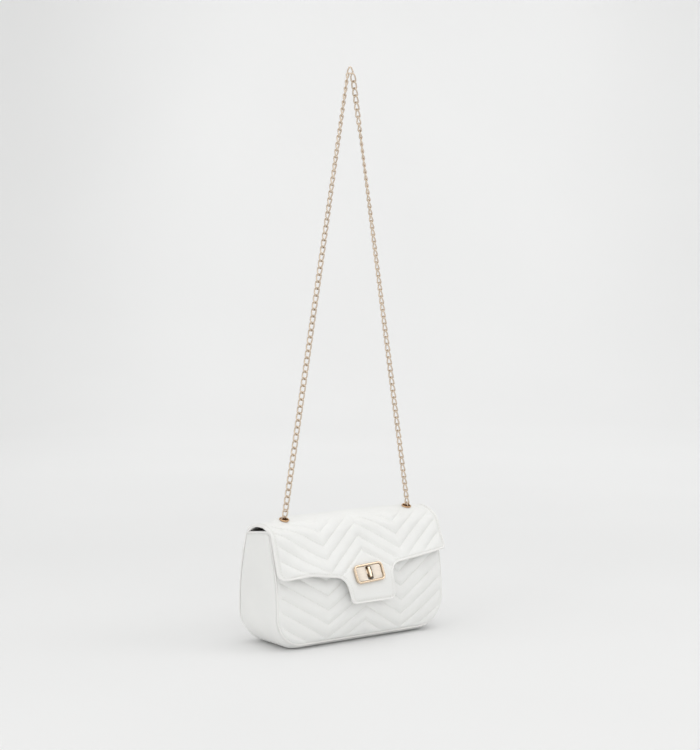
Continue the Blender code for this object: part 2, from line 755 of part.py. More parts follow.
def profile_sheet(name, first, last, rows, sunk, thickness, width):
    """A plain strip of the flap between two lengths along its profile."""
    def place(column, row):
        point = profile_at(last + (first - last) * row / rows, sunk)[0]
        return ((column - 0.5) * width, point.x, point.y)

    return sheet(name, 1, rows, place, thickness)


def flap_lining(openings):
    """The smooth lining glued under the moving part of the flap."""
    sunk = QUILT_DEPTH + FLAP_THICKNESS + FLAP_LINING_GAP
    strip = profile_sheet("flap_lining", GAP, TIP_RUN, 24, sunk, FLAP_LINING_THICKNESS, FLAP_WIDTH)
    edge = inset(flap_outline(), 2 * PIPING_RADIUS + GAP)
    for point in edge:
        if point.y > LEFT_EDGE_HEIGHT + OVERRUN:
            point.y = FOLD_POINT.y + OVERRUN
    cut(strip, prism("flap lining cutter", edge, -FOLD_POINT.x + GAP / 2, BODY_DEPTH + OVERRUN, UPRIGHT,
                     cutter=True), "INTERSECT")
    for opening in openings:
        cut(strip, opening)
    return finish(strip, EDGE_LEATHER)


def flap_piping():
    """The rolled edge round the moving part of the flap."""
    middle = PIPING_RADIUS
    outline = inset(flap_outline(), PIPING_RADIUS)[1:] + inset(flap_outline(), PIPING_RADIUS)[:1]
    left_top, right_top = outline[0], outline[-1]
    points = []
    side_steps = 7
    for step in range(side_steps):
        share = step / side_steps
        run = GAP / 2 + (run_at(outline[1].y, middle) - GAP / 2) * share
        point = profile_at(run, middle)[0]
        points.append((left_top.x, point.x, point.y))
    for spot in outline[1:-1]:
        point = profile_at(run_at(spot.y, middle), middle)[0]
        points.append((spot.x, point.x, spot.y))
    for step in range(side_steps):
        share = 1 - (step + 1) / side_steps
        run = GAP / 2 + (run_at(outline[-2].y, middle) - GAP / 2) * share
        point = profile_at(run, middle)[0]
        points.append((right_top.x, point.x, point.y))
    return tube("flap_piping", points, PIPING_RADIUS, EDGE_LEATHER, sides=1)


def yoke_piping(name, side):
    """The rolled edge at one end of the fixed part of the flap."""
    points = []
    x = side * (FLAP_WIDTH / 2 - PIPING_RADIUS)
    for step in range(21):
        run = -GAP / 2 + (LAP_RUN + GAP / 2) * step / 20
        point = profile_at(run, PIPING_RADIUS)[0]
        points.append((x, point.x, point.y))
    return tube(name, points, PIPING_RADIUS, EDGE_LEATHER, sides=1)


def flap_yoke(openings):
    """The fixed rear part of the flap, sewn to the back panel."""
    width = FLAP_WIDTH - 4 * PIPING_RADIUS - 2 * GAP
    thickness = QUILT_DEPTH + FLAP_THICKNESS
    yoke = profile_sheet("flap_yoke", LAP_RUN, -GAP / 2, 22, 0.0, thickness, width)
    for opening in openings:
        cut(yoke, opening)
    return finish(yoke, OUTER_LEATHER)


def yoke_lining(openings):
    """The smooth lining glued under the fixed part of the flap."""
    width = FLAP_WIDTH - 4 * PIPING_RADIUS - 2 * GAP
    sunk = QUILT_DEPTH + FLAP_THICKNESS + FLAP_LINING_GAP
    strip = profile_sheet("yoke_lining", LAP_RUN, -GAP, 22, sunk, FLAP_LINING_THICKNESS, width)
    for opening in openings:
        cut(strip, opening)
    return finish(strip, EDGE_LEATHER)


# Turn lock

def lock_openings():
    """Cutters through the leather for the lock's slot and its screws."""
    slot = rectangle(SLOT_WIDTH + 2 * SLOT_MARGIN, SLOT_HEIGHT + 2 * SLOT_MARGIN, SLOT_CORNER)
    cutters = [prism("lock slot cutter", slot, -OVERRUN / 2, OVERRUN / 2, LOCK_FRAME, cutter=True)]
    for side in (-1, 1):
        frame = LOCK_FRAME @ Matrix.Translation((side * SCREW_SPACING / 2, 0.0, 0.0))
        radius = SCREW_RADIUS + GAP
        profile = [(0.0, OVERRUN / 2), (radius, OVERRUN / 2), (radius, -OVERRUN / 2), (0.0, -OVERRUN / 2)]
        cutters.append(turned(f"lock screw cutter {side}", profile, frame, SMALL_ROUND_STEPS, cutter=True))
    return cutters


def lock_on_flap(screw_cutters):
    """The lock pieces that are fixed to the flap."""
    slot = rectangle(SLOT_WIDTH, SLOT_HEIGHT, SLOT_CORNER)
    opening = rectangle(OPENING_WIDTH, OPENING_HEIGHT, LOCK_CORNER - LOCK_BORDER)
    frame = prism("lock_frame", rectangle(LOCK_WIDTH, LOCK_HEIGHT, LOCK_CORNER), LOCK_SEAT,
                  LOCK_SEAT + LOCK_FRAME_THICKNESS, LOCK_FRAME, holes=(opening,))
    finish(bevelled(frame, LOCK_BEVEL), GOLD)
    plate = rectangle(OPENING_WIDTH - 2 * GAP, OPENING_HEIGHT - 2 * GAP, LOCK_CORNER - LOCK_BORDER)
    finish(prism("lock_plate", plate, LOCK_SEAT, PLATE_TOP, LOCK_FRAME, holes=(slot,)), GOLD)
    back = rectangle(LOCK_WIDTH - 2 * LOCK_BORDER, OPENING_HEIGHT, LOCK_CORNER / 2)
    back_plate = prism("lock_back_plate", back, BACK_PLATE_TOP - LOCK_BACK_THICKNESS, BACK_PLATE_TOP,
                       LOCK_FRAME, holes=(slot,))
    for cutter in screw_cutters:
        cut(back_plate, cutter)
    finish(back_plate, GOLD)
    for name, side in (("lock_screw_left", -1), ("lock_screw_right", 1)):
        place = LOCK_FRAME @ Matrix.Translation((side * SCREW_SPACING / 2, 0.0, 0.0))
        head_top = BACK_PLATE_TOP - LOCK_BACK_THICKNESS - GAP
        head_bottom = head_top - SCREW_HEAD_THICKNESS
        profile = [(0.0, LOCK_SEAT - GAP), (SCREW_RADIUS, LOCK_SEAT - GAP), (SCREW_RADIUS, head_top),
                   (SCREW_HEAD_RADIUS, head_top), (SCREW_HEAD_RADIUS, head_bottom), (0.0, head_bottom)]
        finish(turned(name, profile, place, SMALL_ROUND_STEPS), GOLD)


def lock_on_body():
    """The lock pieces that are fixed to the front panel, and the knob that turns in them."""
    seat = panel_levels(LOCK_BASE_WIDTH, LOCK_BASE_HEIGHT, 0.0)[1] + GAP
    centre = LOCK_FRAME @ Matrix.Translation((0.0, KNOB_CENTRE, 0.0))
    bore = STEM_RADIUS + STEM_CLEARANCE
    footprint = rectangle(LOCK_BASE_WIDTH, LOCK_BASE_HEIGHT, LOCK_BASE_HEIGHT / 3)
    plate = prism("lock_base", footprint, seat, seat + LOCK_BASE_THICKNESS, centre)
    boss_profile = [(BOSS_RADIUS, KNOB_BOTTOM - GAP), (BOSS_RADIUS, seat + GAP), (bore, seat + GAP),
                    (bore, KNOB_BOTTOM - GAP)]
    boss = turned("lock boss joiner", boss_profile, centre, ROUND_STEPS, cutter=True)
    bore_profile = [(0.0, KNOB_BOTTOM), (bore, KNOB_BOTTOM), (bore, seat - GAP), (0.0, seat - GAP)]
    bore_cutter = turned("lock bore cutter", bore_profile, centre, ROUND_STEPS, cutter=True)
    cut(plate, boss, "UNION")
    cut(plate, bore_cutter)
    finish(plate, GOLD)
    low = panel_levels(LOCK_BASE_WIDTH, LOCK_BASE_HEIGHT, PANEL_TOTAL)[0] - 3 * GAP
    finish(prism("lock_washer", footprint, low - LOCK_WASHER_THICKNESS, low, centre), GOLD)

    bar = prism("lock_knob", rectangle(KNOB_WIDTH, KNOB_LENGTH, KNOB_WIDTH / 3), KNOB_BOTTOM,
                KNOB_BOTTOM + KNOB_THICKNESS, centre)
    bevelled(bar, KNOB_BEVEL)
    stem_profile = [(0.0, KNOB_BOTTOM + KNOB_THICKNESS / 2), (STEM_RADIUS, KNOB_BOTTOM + KNOB_THICKNESS / 2),
                    (STEM_RADIUS, seat + GAP), (0.0, seat + GAP)]
    stem = turned("knob stem joiner", stem_profile, centre, ROUND_STEPS, cutter=True)
    cut(bar, stem, "UNION")
    finish(bar, GOLD)


# Eyelets and strap

def eyelet_run():
    """Length behind the fold at which the eyelets sit."""
    low, high = LAP_RUN, 0.0
    target = -EYELET_DEPTH_SHARE * SHOULDER_DEPTH / 2
    for step in range(40):
        middle = (low + high) / 2
        if profile_at(middle)[0].x > target:
            low = middle
        else:
            high = middle
    return (low + high) / 2


def eyelet_frame(side):
    """Frame on the flap at one eyelet: Z out of the leather."""
    point, outward = profile_at(eyelet_run())
    out = Vector((0.0, outward.x, outward.y))
    across = Vector((1.0, 0.0, 0.0))
    frame = Matrix((across, out.cross(across), out)).transposed().to_4x4()
    frame.translation = Vector((side * EYELET_SPACING / 2, point.x, point.y))
    return frame


def eyelet_cutters():
    """Cutters for the two eyelet holes in the leather."""
    radius = EYELET_BORE + EYELET_WALL + GAP
    profile = [(0.0, OVERRUN / 2), (radius, OVERRUN / 2), (radius, -OVERRUN / 2), (0.0, -OVERRUN / 2)]
    return [turned(f"eyelet hole cutter {side}", profile, eyelet_frame(side), ROUND_STEPS, cutter=True)
            for side in (-1, 1)]


def eyelet(side, word):
    """One eyelet: a flanged barrel through the leather, spread over a washer underneath."""
    place = eyelet_frame(side)
    barrel = EYELET_BORE + EYELET_WALL
    rim = barrel + EYELET_FLANGE
    top = GAP + EYELET_FLANGE_THICKNESS
    washer_top = -FLAP_TOTAL - EYELET_WASHER_SINK
    washer_bottom = washer_top - EYELET_WASHER_THICKNESS
    edge = EYELET_FLANGE_THICKNESS / 2
    profile = [(EYELET_BORE + edge, top), (rim - edge, top), (rim, top - edge), (rim - edge / 2, GAP),
               (barrel, GAP), (barrel, washer_bottom), (EYELET_BORE, washer_bottom),
               (EYELET_BORE, top - edge)]
    finish(turned(f"eyelet_{word}", profile, place, ROUND_STEPS), GOLD)
    hole = barrel + GAP
    ring = [(rim - edge, washer_top), (rim - edge, washer_bottom), (hole, washer_bottom), (hole, washer_top)]
    finish(turned(f"eyelet_washer_{word}", ring, place, ROUND_STEPS), GOLD)


def apex():
    """Point over the bag at which the strap is held up."""
    centre = eyelet_frame(0)
    return Vector((STRAP_APEX_SHIFT, centre.translation.y, centre.translation.z + STRAP_DROP))


def strap_knots(side):
    """Knots of one strand: up through its eyelet, then straight to the link at the top."""
    frame = eyelet_frame(side)
    start = frame @ Vector((0.0, 0.0, GAP))
    stub = frame @ Vector((0.0, 0.0, STRAP_STUB))
    top = apex() + Vector((side * STRAP_APEX_HALF_GAP, 0.0, -STRAP_TOP_RISE))
    return [start, stub, *[stub.lerp(top, share) for share in STRAP_KNOT_SHARES], top]


def strap_strand(side, word):
    """One strand of the strap as the envelope of its links."""
    start, *rest = strap_knots(side)
    path = smooth_curve(rest, steps=12)
    points = [start] + [along(path, step / STRAP_POINTS)[0] for step in range(STRAP_POINTS + 1)]
    return tube(f"strap_chain_{word}", points, CHAIN_RADIUS, GOLD)


def strap_top_link():
    """The link that lies across the top of the strap, between the last links of the two strands."""
    low = apex().z - STRAP_TOP_RISE + GAP
    high = apex().z
    middle = (low + high) / 2
    height = high - low - 2 * TOP_LINK_RADIUS
    width = 2 * (STRAP_APEX_HALF_GAP + CHAIN_RADIUS) - 2 * TOP_LINK_RADIUS
    corner = height / 2 - GAP
    ring = rectangle(width, height, corner, (apex().x, middle))
    points = [(point.x, apex().y, point.y) for point in ring]
    return tube("strap_top_link", points, TOP_LINK_RADIUS, GOLD, closed=True)


def ring_centre(side):
    """Middle of a D-ring's straight bar, in the loop of its tab."""
    wall = BODY_WIDTH / 2 - GUSSET_THICKNESS - LINING_CLEARANCE - LINING_THICKNESS - GAP
    loop = RING_WIRE_RADIUS + GAP + TAB_THICKNESS
    return Vector((side * (wall - loop), eyelet_frame(side).translation.y, RING_HEIGHT))


def ring_pull(side):
    """Direction in which the chain pulls a D-ring."""
    return (eyelet_frame(side) @ Vector((0.0, 0.0, -INNER_STUB)) - ring_centre(side)).normalized()


def anchorage(side, word):
    """The tab, D-ring, rivet and inner end of the chain on one side."""
    centre = ring_centre(side)
    pull = ring_pull(side)
    half = RING_WIDTH / 2
    loop = rounded([(-half, 0.0, RING_INNER_CORNER), (half, 0.0, RING_INNER_CORNER),
                    (half, RING_REACH, RING_OUTER_CORNER), (-half, RING_REACH, RING_OUTER_CORNER)])
    ring = [centre + Vector((0.0, spot.x, 0.0)) + pull * spot.y for spot in loop]
    tube(f"d_ring_{word}", ring, RING_WIRE_RADIUS, GOLD, closed=True)

    outer = RING_WIRE_RADIUS + GAP + TAB_THICKNESS
    inner = outer - TAB_THICKNESS
    outline = [Vector((outer, -TAB_LENGTH)), *arc(outer, 0.0, 1.5 * pi, TAB_ARC_STEPS),
               Vector((inner, -outer)), Vector((inner, -TAB_LENGTH))]
    outline = [Vector((side * point.x, point.y)) for point in outline]
    tunnel = arc(RING_WIRE_RADIUS + GAP, 0.0, 2 * pi, SMALL_ROUND_STEPS)[:-1]
    tab = prism(f"ring_tab_{word}", outline, -TAB_WIDTH / 2, TAB_WIDTH / 2,
                Matrix.Translation(centre) @ UPRIGHT, holes=(tunnel,))
    finish(tab, EDGE_LEATHER)

    face = centre + Vector((side * (inner - GAP), 0.0, -TAB_LENGTH + RIVET_RAISE))
    place = Matrix.Translation(face) @ Matrix.Rotation(-side * pi / 2, 4, "Y")
    dome = [(0.0, RIVET_THICKNESS), (RIVET_RADIUS / 2, RIVET_THICKNESS),
            (RIVET_RADIUS, RIVET_THICKNESS / 2), (RIVET_RADIUS, 0.0), (0.0, 0.0)]
    finish(turned(f"tab_rivet_{word}", dome, place, ROUND_STEPS), GOLD)

    frame = eyelet_frame(side)
    top = frame @ Vector((0.0, 0.0, -GAP))
    bend = frame @ Vector((0.0, 0.0, -INNER_STUB))
    end = centre + pull * (RING_REACH + RING_WIRE_RADIUS + GAP)
    path = [top, *smooth_curve([bend, bend.lerp(end, 0.5), end], steps=4)]
    tube(f"inner_chain_{word}", path, CHAIN_RADIUS, GOLD)


def hang_flap():
    """Parent what opens with the flap to an empty on the fold, which is the hinge's axis."""
    hinge = bpy.data.objects.new("flap_hinge", None)
    hinge.location = (0.0, FOLD_POINT.x, FOLD_POINT.y)
    BAG.objects.link(hinge)
    bpy.context.view_layer.update()
    for name in FLAP_PIECES:
        piece = bpy.data.objects[name]
        piece.parent = hinge
        piece.matrix_parent_inverse = hinge.matrix_world.inverted()


def build():
    """Make every piece of the bag."""
    gusset()
    quilted_panel("front_panel", -1, FRONT_BULGE)
    quilted_panel("back_panel", 1, BACK_BULGE)
    welt("front_welt", -1)
    welt("back_welt", 1)
    base_board()
    lining()
    mouth_binding()
    slip_pocket()
    openings = lock_openings()
    flap_front(openings)
    flap_lining(openings)
    flap_piping()
    eyelet_holes = eyelet_cutters()
    flap_yoke(eyelet_holes)
    yoke_lining(eyelet_holes)
    lock_on_flap(openings[1:])
    lock_on_body()
    strap_top_link()
    for side, word in ((-1, "left"), (1, "right")):
        yoke_piping(f"yoke_piping_{word}", side)
        eyelet(side, word)
        strap_strand(side, word)
        anchorage(side, word)
    hang_flap()


build()
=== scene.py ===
"""Finished surfaces of the quilted handbag: leather, stitching, plated chain, turn lock and lining.

Run as a script in Blender. It is laid out as an add-on: one operator makes each group of pieces.
Lengths are in metres. +Z is up, the front of the bag faces -Y, and the origin is the middle of the base.
"""
from bisect import bisect_right
from math import ceil, copysign, cos, floor, hypot, pi, radians, sin, sqrt

import bmesh
import bpy
from bpy.props import FloatProperty, FloatVectorProperty, PointerProperty
from mathutils import Matrix, Vector, noise


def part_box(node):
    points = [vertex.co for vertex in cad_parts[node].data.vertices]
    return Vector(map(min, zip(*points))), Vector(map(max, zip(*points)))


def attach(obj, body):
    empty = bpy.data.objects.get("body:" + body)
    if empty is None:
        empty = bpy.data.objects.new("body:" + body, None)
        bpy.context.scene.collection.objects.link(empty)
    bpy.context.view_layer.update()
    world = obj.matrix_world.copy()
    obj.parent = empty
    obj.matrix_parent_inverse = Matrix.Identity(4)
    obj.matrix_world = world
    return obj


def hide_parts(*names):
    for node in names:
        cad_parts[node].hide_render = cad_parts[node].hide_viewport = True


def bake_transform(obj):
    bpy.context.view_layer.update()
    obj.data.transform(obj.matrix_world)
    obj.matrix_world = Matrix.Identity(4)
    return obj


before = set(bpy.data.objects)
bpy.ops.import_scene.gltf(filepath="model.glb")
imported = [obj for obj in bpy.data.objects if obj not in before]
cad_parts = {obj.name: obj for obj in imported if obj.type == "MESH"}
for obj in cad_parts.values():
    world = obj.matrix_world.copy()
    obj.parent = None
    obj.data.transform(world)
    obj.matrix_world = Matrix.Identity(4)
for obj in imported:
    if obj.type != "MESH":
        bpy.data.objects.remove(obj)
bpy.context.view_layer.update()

bl_info = {
    "name": "Quilted handbag",
    "version": (1, 0, 0),
    "blender": (4, 5, 0),
    "location": "3D View > Sidebar > Handbag",
    "description": "Makes the finished pieces of a quilted handbag with a chain strap",
    "category": "Add Mesh",
}


def extent(name, matrix):
    """Lowest and highest corner of one of the frame's pieces, measured in the given frame."""
    seen = [matrix.inverted() @ v.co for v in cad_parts[name].data.vertices]
    return [Vector([pick(spot[axis] for spot in seen) for axis in range(3)]) for pick in (min, max)]


# Body of the bag, as the frame has it
GAP = 0.0003
BODY_WIDTH = 0.250
BODY_DEPTH = 0.080
MOUTH_DEPTH = 0.047
MOUTH_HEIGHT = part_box("mouth_binding")[0].z - GAP
BODY_CORNER = 0.036
NARROWING_START_SHARE = 0.35
SIDE_CROWN = 0.002
BASE_CROWN = 0.006
FLAT_SHARE = 0.68
PANEL_TOTAL = 0.003
FRONT_BULGE = 0.009
BACK_BULGE = 0.004
BULGE_RISE_SHARE = 0.8
BULGE_FALL_SHARE = 1.6
BULGE_SIDE_POWER = 0.75
WELT_RADIUS = 0.0013

# Soft shape of the body that only the finished leather and cloth have
LEATHER_THICKNESS = 0.0014
SEAM_SPACING = 0.004
WELT_SHOWN_SHARE = 0.9
WELT_INSET_SHARE = 0.7
SEAM_SINK_SHARE = 0.35
SEAM_ROLL_REACH_IN_RADII = 3
SEAM_ROLL_DEPTH_IN_RADII = 1.7
PANEL_SETTLE = 0.0002
PANEL_WAVE = 0.0004
PANEL_WAVE_LENGTH = 0.05
PANEL_WAVE_LAYER = 0.3
PUCKER_HEIGHT = 0.00022
PUCKER_WIDTH = 0.0055
PUCKER_LENGTH = 0.011
GUSSET_ROWS = 40
GUSSET_SLACK = 0.0012
GUSSET_SLACK_OUTWARD_SHARE = 0.2
GUSSET_SLACK_FROM = 0.03
GUSSET_SLACK_RISE = 0.05
GUSSET_WAVES_PER_METRE = (4, 14, 12)
GUSSET_EDGE_SHARE = 0.93
GUSSET_EDGE_TURN = 0.0008
SIDE_RISE = 0.0038
SIDE_RISE_SLOPE = 0.137
SIDE_RISE_LEFT_AT_CORNERS = 0.9
SIDE_RISE_REACH = 0.02
CORNER_RISE_REACH = 0.008
MOUTH_EDGE_INSET = 0.0004
MOUTH_EDGE_RADIUS = 0.0018
MOUTH_EDGE_STAND_OFF = 0.0016
MOUTH_EDGE_LIFT = 0.0008
MOUTH_EDGE_CORNER = 0.005
MOUTH_EDGE_SPACING = 0.0025
LINING_LEVELS = 34
LINING_STEPS = 120
LINING_BOTTOM_RINGS = 5
LINING_BOTTOM_GAP = 0.0034
LINING_SIDE_GAP = 0.0031
LINING_FACE_GAP = 0.0016
LINING_CORNER = 0.006
LINING_SLACK = 0.0007
LINING_SLACK_FADE = 0.01
LINING_WAVES_PER_METRE = (30, 30, 22)
LINING_RISE_FROM_SHARE = 0.85
LINING_SIDE_SLACK_SHARE = 0.2
LINING_BOTTOM_TAPER = 0.12
LINING_THICKNESS = 0.0006
LINING_MIDDLE_HEIGHT = 0.08
POCKET_COLUMNS = 56
POCKET_ROWS = 34
POCKET_HEM_ROWS = 5
POCKET_HEM = 0.0004
POCKET_GAPE = 0.0035
POCKET_GAPE_FROM_SHARE = 0.5
POCKET_GAPE_POWER = 0.7
POCKET_STAND_OFF = 0.0030
POCKET_THICKNESS = 0.0007

# Flap, as the frame has it. A knot of the crown is given as (share of half the shoulder's depth, share of
# the crown's rise), and the knots behind and in front of it as shares of their way down
FLAP_WIDTH = 0.256
CROWN_RISE = 0.020
SHOULDER_DEPTH = 0.063
FLAP_TOTAL = 0.0041
FLAP_CLEARANCE = 0.0008
FLAP_STAND_OFF = 0.0055
STAND_OFF_TOP = 0.124
STAND_OFF_BOTTOM = 0.066
BACK_LAP_BOTTOM = 0.112
TONGUE_BOTTOM = 0.051
TONGUE_CORNER = 0.008
CROWN_SHARES = ((0.97, 0.19), (0.80, 0.56), (0.47, 0.88), (0.10, 1.0), (-0.28, 0.92), (-0.60, 0.72),
                (-0.82, 0.47), (-0.97, 0.17))
LAP_TOP_SHARE = 0.16
FOLD_SHARE = -0.60
BACK_KNOT_SHARES = (0.0, 0.5, 1.0)
FRONT_KNOT_SHARES = (0.0, 0.09, 0.19, 0.30, 0.42, 0.54, 0.66, 0.78, 0.90, 1.02)

# Soft shape of the flap that only the finished leather has. An end's shift is given as (length in front
# of the fold, how far forward, how far up), and the lower edge as (place across, height)
EDGE_HEIGHTS = ((-0.128, 0.0878), (-0.085, 0.0905), (0.037, 0.0925), (0.128, 0.1017))
LEFT_NOTCH = (-0.0350, 0.0830)
TONGUE_FOOT_LEFT = -0.0275
TONGUE_FOOT_RIGHT = 0.0368
LEFT_RISE_RADIUS = 0.050
NOTCH_RADIUS = 0.016
LEFT_CORNER = 0.009
RIGHT_CORNER = 0.006
LEFT_END_SHIFTS = ((-0.086, 0.001, 0.0), (-0.060, 0.0025, -0.001), (-0.050, 0.0042, -0.004),
                   (-0.040, 0.003, -0.0058), (-0.030, 0.001, -0.0057), (-0.020, 0.0, -0.0043),
                   (-0.010, 0.0002, -0.0021), (-0.003, 0.0006, -0.0003), (0.004, 0.0015, 0.0007),
                   (0.013, 0.0028, 0.0035), (0.026, 0.0050, 0.0055), (0.043, 0.0030, 0.0045),
                   (0.062, 0.0, 0.003), (0.080, -0.001, 0.002), (0.115, 0.0, 0.0))
RIGHT_END_SHIFTS = ((-0.086, 0.001, 0.0), (-0.060, 0.0025, -0.001), (-0.050, 0.004, -0.0035),
                    (-0.040, 0.002, -0.005), (-0.023, 0.0, -0.0035), (0.0, 0.0, -0.003),
                    (0.015, 0.0, -0.001), (0.035, 0.0, 0.0), (0.115, 0.0, 0.0))
END_BLEND_FROM = 0.058
LAP_INSET = 0.0055
LAP_INSET_FROM = -0.040
LAP_INSET_FADE = 0.022
EYELET_HOLD_RADIUS = 0.009
EYELET_HOLD_FADE = 0.012
EDGE_LIFT = 0.0025
EDGE_LIFT_FROM = 0.040
EDGE_LIFT_RUN = 0.034
EDGE_LIFT_SIDE_FADE = 0.016
EDGE_LIFT_END_FADE = 0.03
LEFT_CURL = 0.0032
LEFT_CURL_REACH = 0.011
LEFT_CURL_RUNS = (0.014, 0.092)
LEFT_CURL_FADE = 0.014
FLAP_WAVE = 0.0003
FLAP_WAVE_LENGTH = 0.04
FLAP_OVERRUN = 0.002
FLAP_CUT_INSET = 0.0008
FLAP_INSIDE_COLUMNS = 96
FLAP_INSIDE_ROWS = 150
FLAP_INSIDE_THICKNESS = 0.0006
FLAP_MIDDLE_HEIGHT = 0.10
FLAP_EDGE_SPACING = 0.003
LAP_EDGE_SPACING = 0.004
ROLL_INSET = 0.0001
PROFILE_REACH = 0.0012
PROFILE_HALVINGS = 40
EDGE_HALVINGS = 26

# Quilting. A chevron line is given as (share of the reach across, share of the drop below its middle)
PANEL_CHEVRON = ((-2.28, -0.25), (-0.98, 0.905), (0.0, 0.0), (0.98, 0.905), (2.28, -0.25))
FLAP_CHEVRON = ((-2.29, 0.05), (-0.96, 1.13), (0.0, 0.0), (1.03, 1.02), (2.29, -0.39))
PANEL_PHASE = 0.46
FLAP_PHASE = 0.49
LAST_LEVEL = 3.0
PLAIN_FADE = 0.4
PLAIN_AHEAD = 0.5
LAST_LEVEL_FADE = 0.1
PLAIN_HALF_WIDTH = 0.046
PLAIN_SINK = 0.0004
EDGE_SINK = 0.0011
EDGE_SINK_WIDTH = 0.0035
BORDER = 0.0062
BORDER_PLAIN_SHARE = 0.4
QUILT_START = -0.014
QUILT_START_FADE = 0.022
STITCH_INSET = 0.0042
PUFF_POWER = 2.1
ROWS_PER_CHANNEL = 12
COLUMN_SPACING = 0.0017
CORNER_COLUMNS = 26

# Stitches. A stitch's shape is given as (share of its length, height in radii, width in radii)
STITCH_SHAPE = ((0.0, -1.0, 0.45), (0.2, 0.35, 0.9), (0.5, 0.6, 1.0), (0.8, 0.35, 0.9), (1.0, -1.0, 0.45))
STITCH_START_SHARE = 0.12
STITCH_SHARE = 0.78
STITCH_SIDES = 6
THREAD_SINK = 0.0002
PANEL_STITCH_END = 0.002
PANEL_STITCH_BORDER_SHARE = 0.8
FLAP_STITCH_ROWS = 9
FLAP_STITCH_LEAST_QUILT = 0.6
LEAST_STITCHED_POINTS = 4

# Turn lock, as the frame has it
LOCK_HEIGHT_ON_FLAP = 0.0860
LOCK_TILT = radians(3.0)
LOCK_BORDER = 0.0028
LOCK_CORNER = 0.006
SLOT_WIDTH = 0.0084
SLOT_CORNER = 0.002
SLOT_END = 0.0008
KNOB_BOTTOM = 0.002
STEM_RADIUS = 0.002
BOSS_RADIUS = 0.004
LOCK_BASE_THICKNESS = 0.001

# Turn lock, as only the finished metal has it
PLATE_RISE = 0.0004
RIM_ROUND = 0.0012
SHEET_ROUND = 0.0002
BAR_ROUND = 0.0007
SCREW_TURNS = {"left": radians(35.0), "right": radians(-20.0)}
SLIT_LENGTH_SHARE = 1.5
SLIT_WIDTH_SHARE = 0.25
SLIT_DEPTH_SHARE = 0.25
BAR_WIDTH = 0.0038
BAR_THICKNESS = 0.0018
BAR_EXTRA_LENGTH = 0.0026
BAR_DROP = 0.0008
BAR_WIDTH_TO_CORNER = 2.6

# Eyelets, strap and anchorage, as the frame has them
EYELET_SPACING = 0.186
EYELET_DEPTH_SHARE = 0.30
EYELET_BORE = 0.0046
EYELET_WALL = 0.0006
EYELET_WASHER_TOP = -0.0049
EYELET_WASHER_BOTTOM = -0.0056
STRAP_DROP = 0.5445
STRAP_APEX_SHIFT = 0.0055
STRAP_TOP_RISE = 0.0085
STRAP_STUB = 0.006
STRAP_KNOT_SHARES = (0.04, 0.35, 0.7)
TOP_LINK_WIRE = 0.0010
INNER_STUB = 0.0085
RING_WIRE_RADIUS = 0.001
RING_WIDTH = 0.015
RING_REACH = 0.009
TAB_THICKNESS = 0.0016
TAB_LENGTH = 0.020
TAB_WIDTH = 0.010
RIVET_RADIUS = 0.003
RIVET_RAISE = 0.006

# Eyelets, strap and anchorage, as only the finished pieces have them
EYELET_FLANGE = 0.0010
EYELET_FLANGE_THICKNESS = 0.0013
EYELET_ROLL_STEPS = 14
EYELET_ROLL_POWER = 0.75
EYELET_WASHER_INSET = 0.0004
EYELET_WASHER_STEPS = 6
HOLE_REACH = 0.01
HOLE_STEPS = 36
STRAP_APEX_HALF_GAP = 0.0038
STRAP_LINK_REACH = 0.0048
STRAP_ENDS_PITCH_SHARE = 0.55
TOP_LINK_HALF_WIDTH = 0.0055
TOP_LINK_RISE = 0.0024
LINK_STEPS = 30
LINK_SIDES = 9
LINK_END_POWER = 0.85
LINK_SIDE_POWER = 0.75
LINK_TWIST_IN_RADII = 1.05
RING_FOOT_CORNER = 0.002
RING_HEAD_CORNER = 0.0055
RING_SPACING = 0.0015
TAB_WRAP = 1.5 * pi
TAB_WRAP_STEPS = 24
TAB_SPACING = 0.0012
TAB_COLUMNS = 12
TAB_ROUND = 0.0004
RIVET_DOME = 0.0011

# How finely the round pieces are drawn
WIRE_SIDES = 12
EDGE_SIDES = 14
SEAM_CORNER_STEPS = 18
DOME_STEPS = 8
EYELET_STEPS = 64
BOSS_STEPS = 40
SMALL_TURN_STEPS = 32

# Angle in degrees from which an edge is drawn sharp
LEATHER_SHARP = 35.0
PLATE_SHARP = 40.0
TURNED_SHARP = 50.0
TAB_SHARP = 60.0
NEVER_SHARP = 180.0

# Widths and depths of the patterns in the finishes
LEATHER_CLOUD = 0.045
LEATHER_PORE = 0.0006
LEATHER_CREASE = 0.006
EMBOSSED_DEPTH = 0.00012
SMOOTH_DEPTH = 0.00005
CREASE_DEPTH = 0.0004
METAL_CLOUD = 0.012
METAL_SCRATCH = 0.0012
SCRATCH_DEPTH = 0.00002
BRUSH_LENGTH = 0.009
BRUSH_LENGTH_TO_WIDTH = 30.0
BRUSH_DEPTH = 0.00004
WEAVE_WIDTH = 0.001381
WEAVE_DEPTH = 0.0002
PLY_WIDTH = 0.001367
PLY_DEPTH = 0.0001
BOARD_FLECK = 0.003
PAPER_CLOUD = 0.4

# Length of one band of the wave texture at a scale of 1: along an axis, and along the diagonal of all three
WAVE_BAND = 2 * pi / 20
DIAGONAL_WAVE_BAND = 2 * pi / 10 / sqrt(3)

# Camera and studio
CAMERA_PLACE = (-1.376456, -1.911202, 0.526179)
CAMERA_BACK = (-0.585636, -0.806058, 0.085443)
CAMERA_LENS = 92.19
SENSOR = 36.0
TENT_LIGHT = 0.97
TENT_HEIGHTS = (-0.2, 0.9)
PAPER_TURN = radians(-36.0)
PAPER_HALF_WIDTH = 12.0
PAPER_FRONT = -9.0
PAPER_CURVE_START = 2.2
PAPER_CURVE_RADIUS = 1.4
PAPER_CURVE_STEPS = 16
PAPER_TOP = 5.0

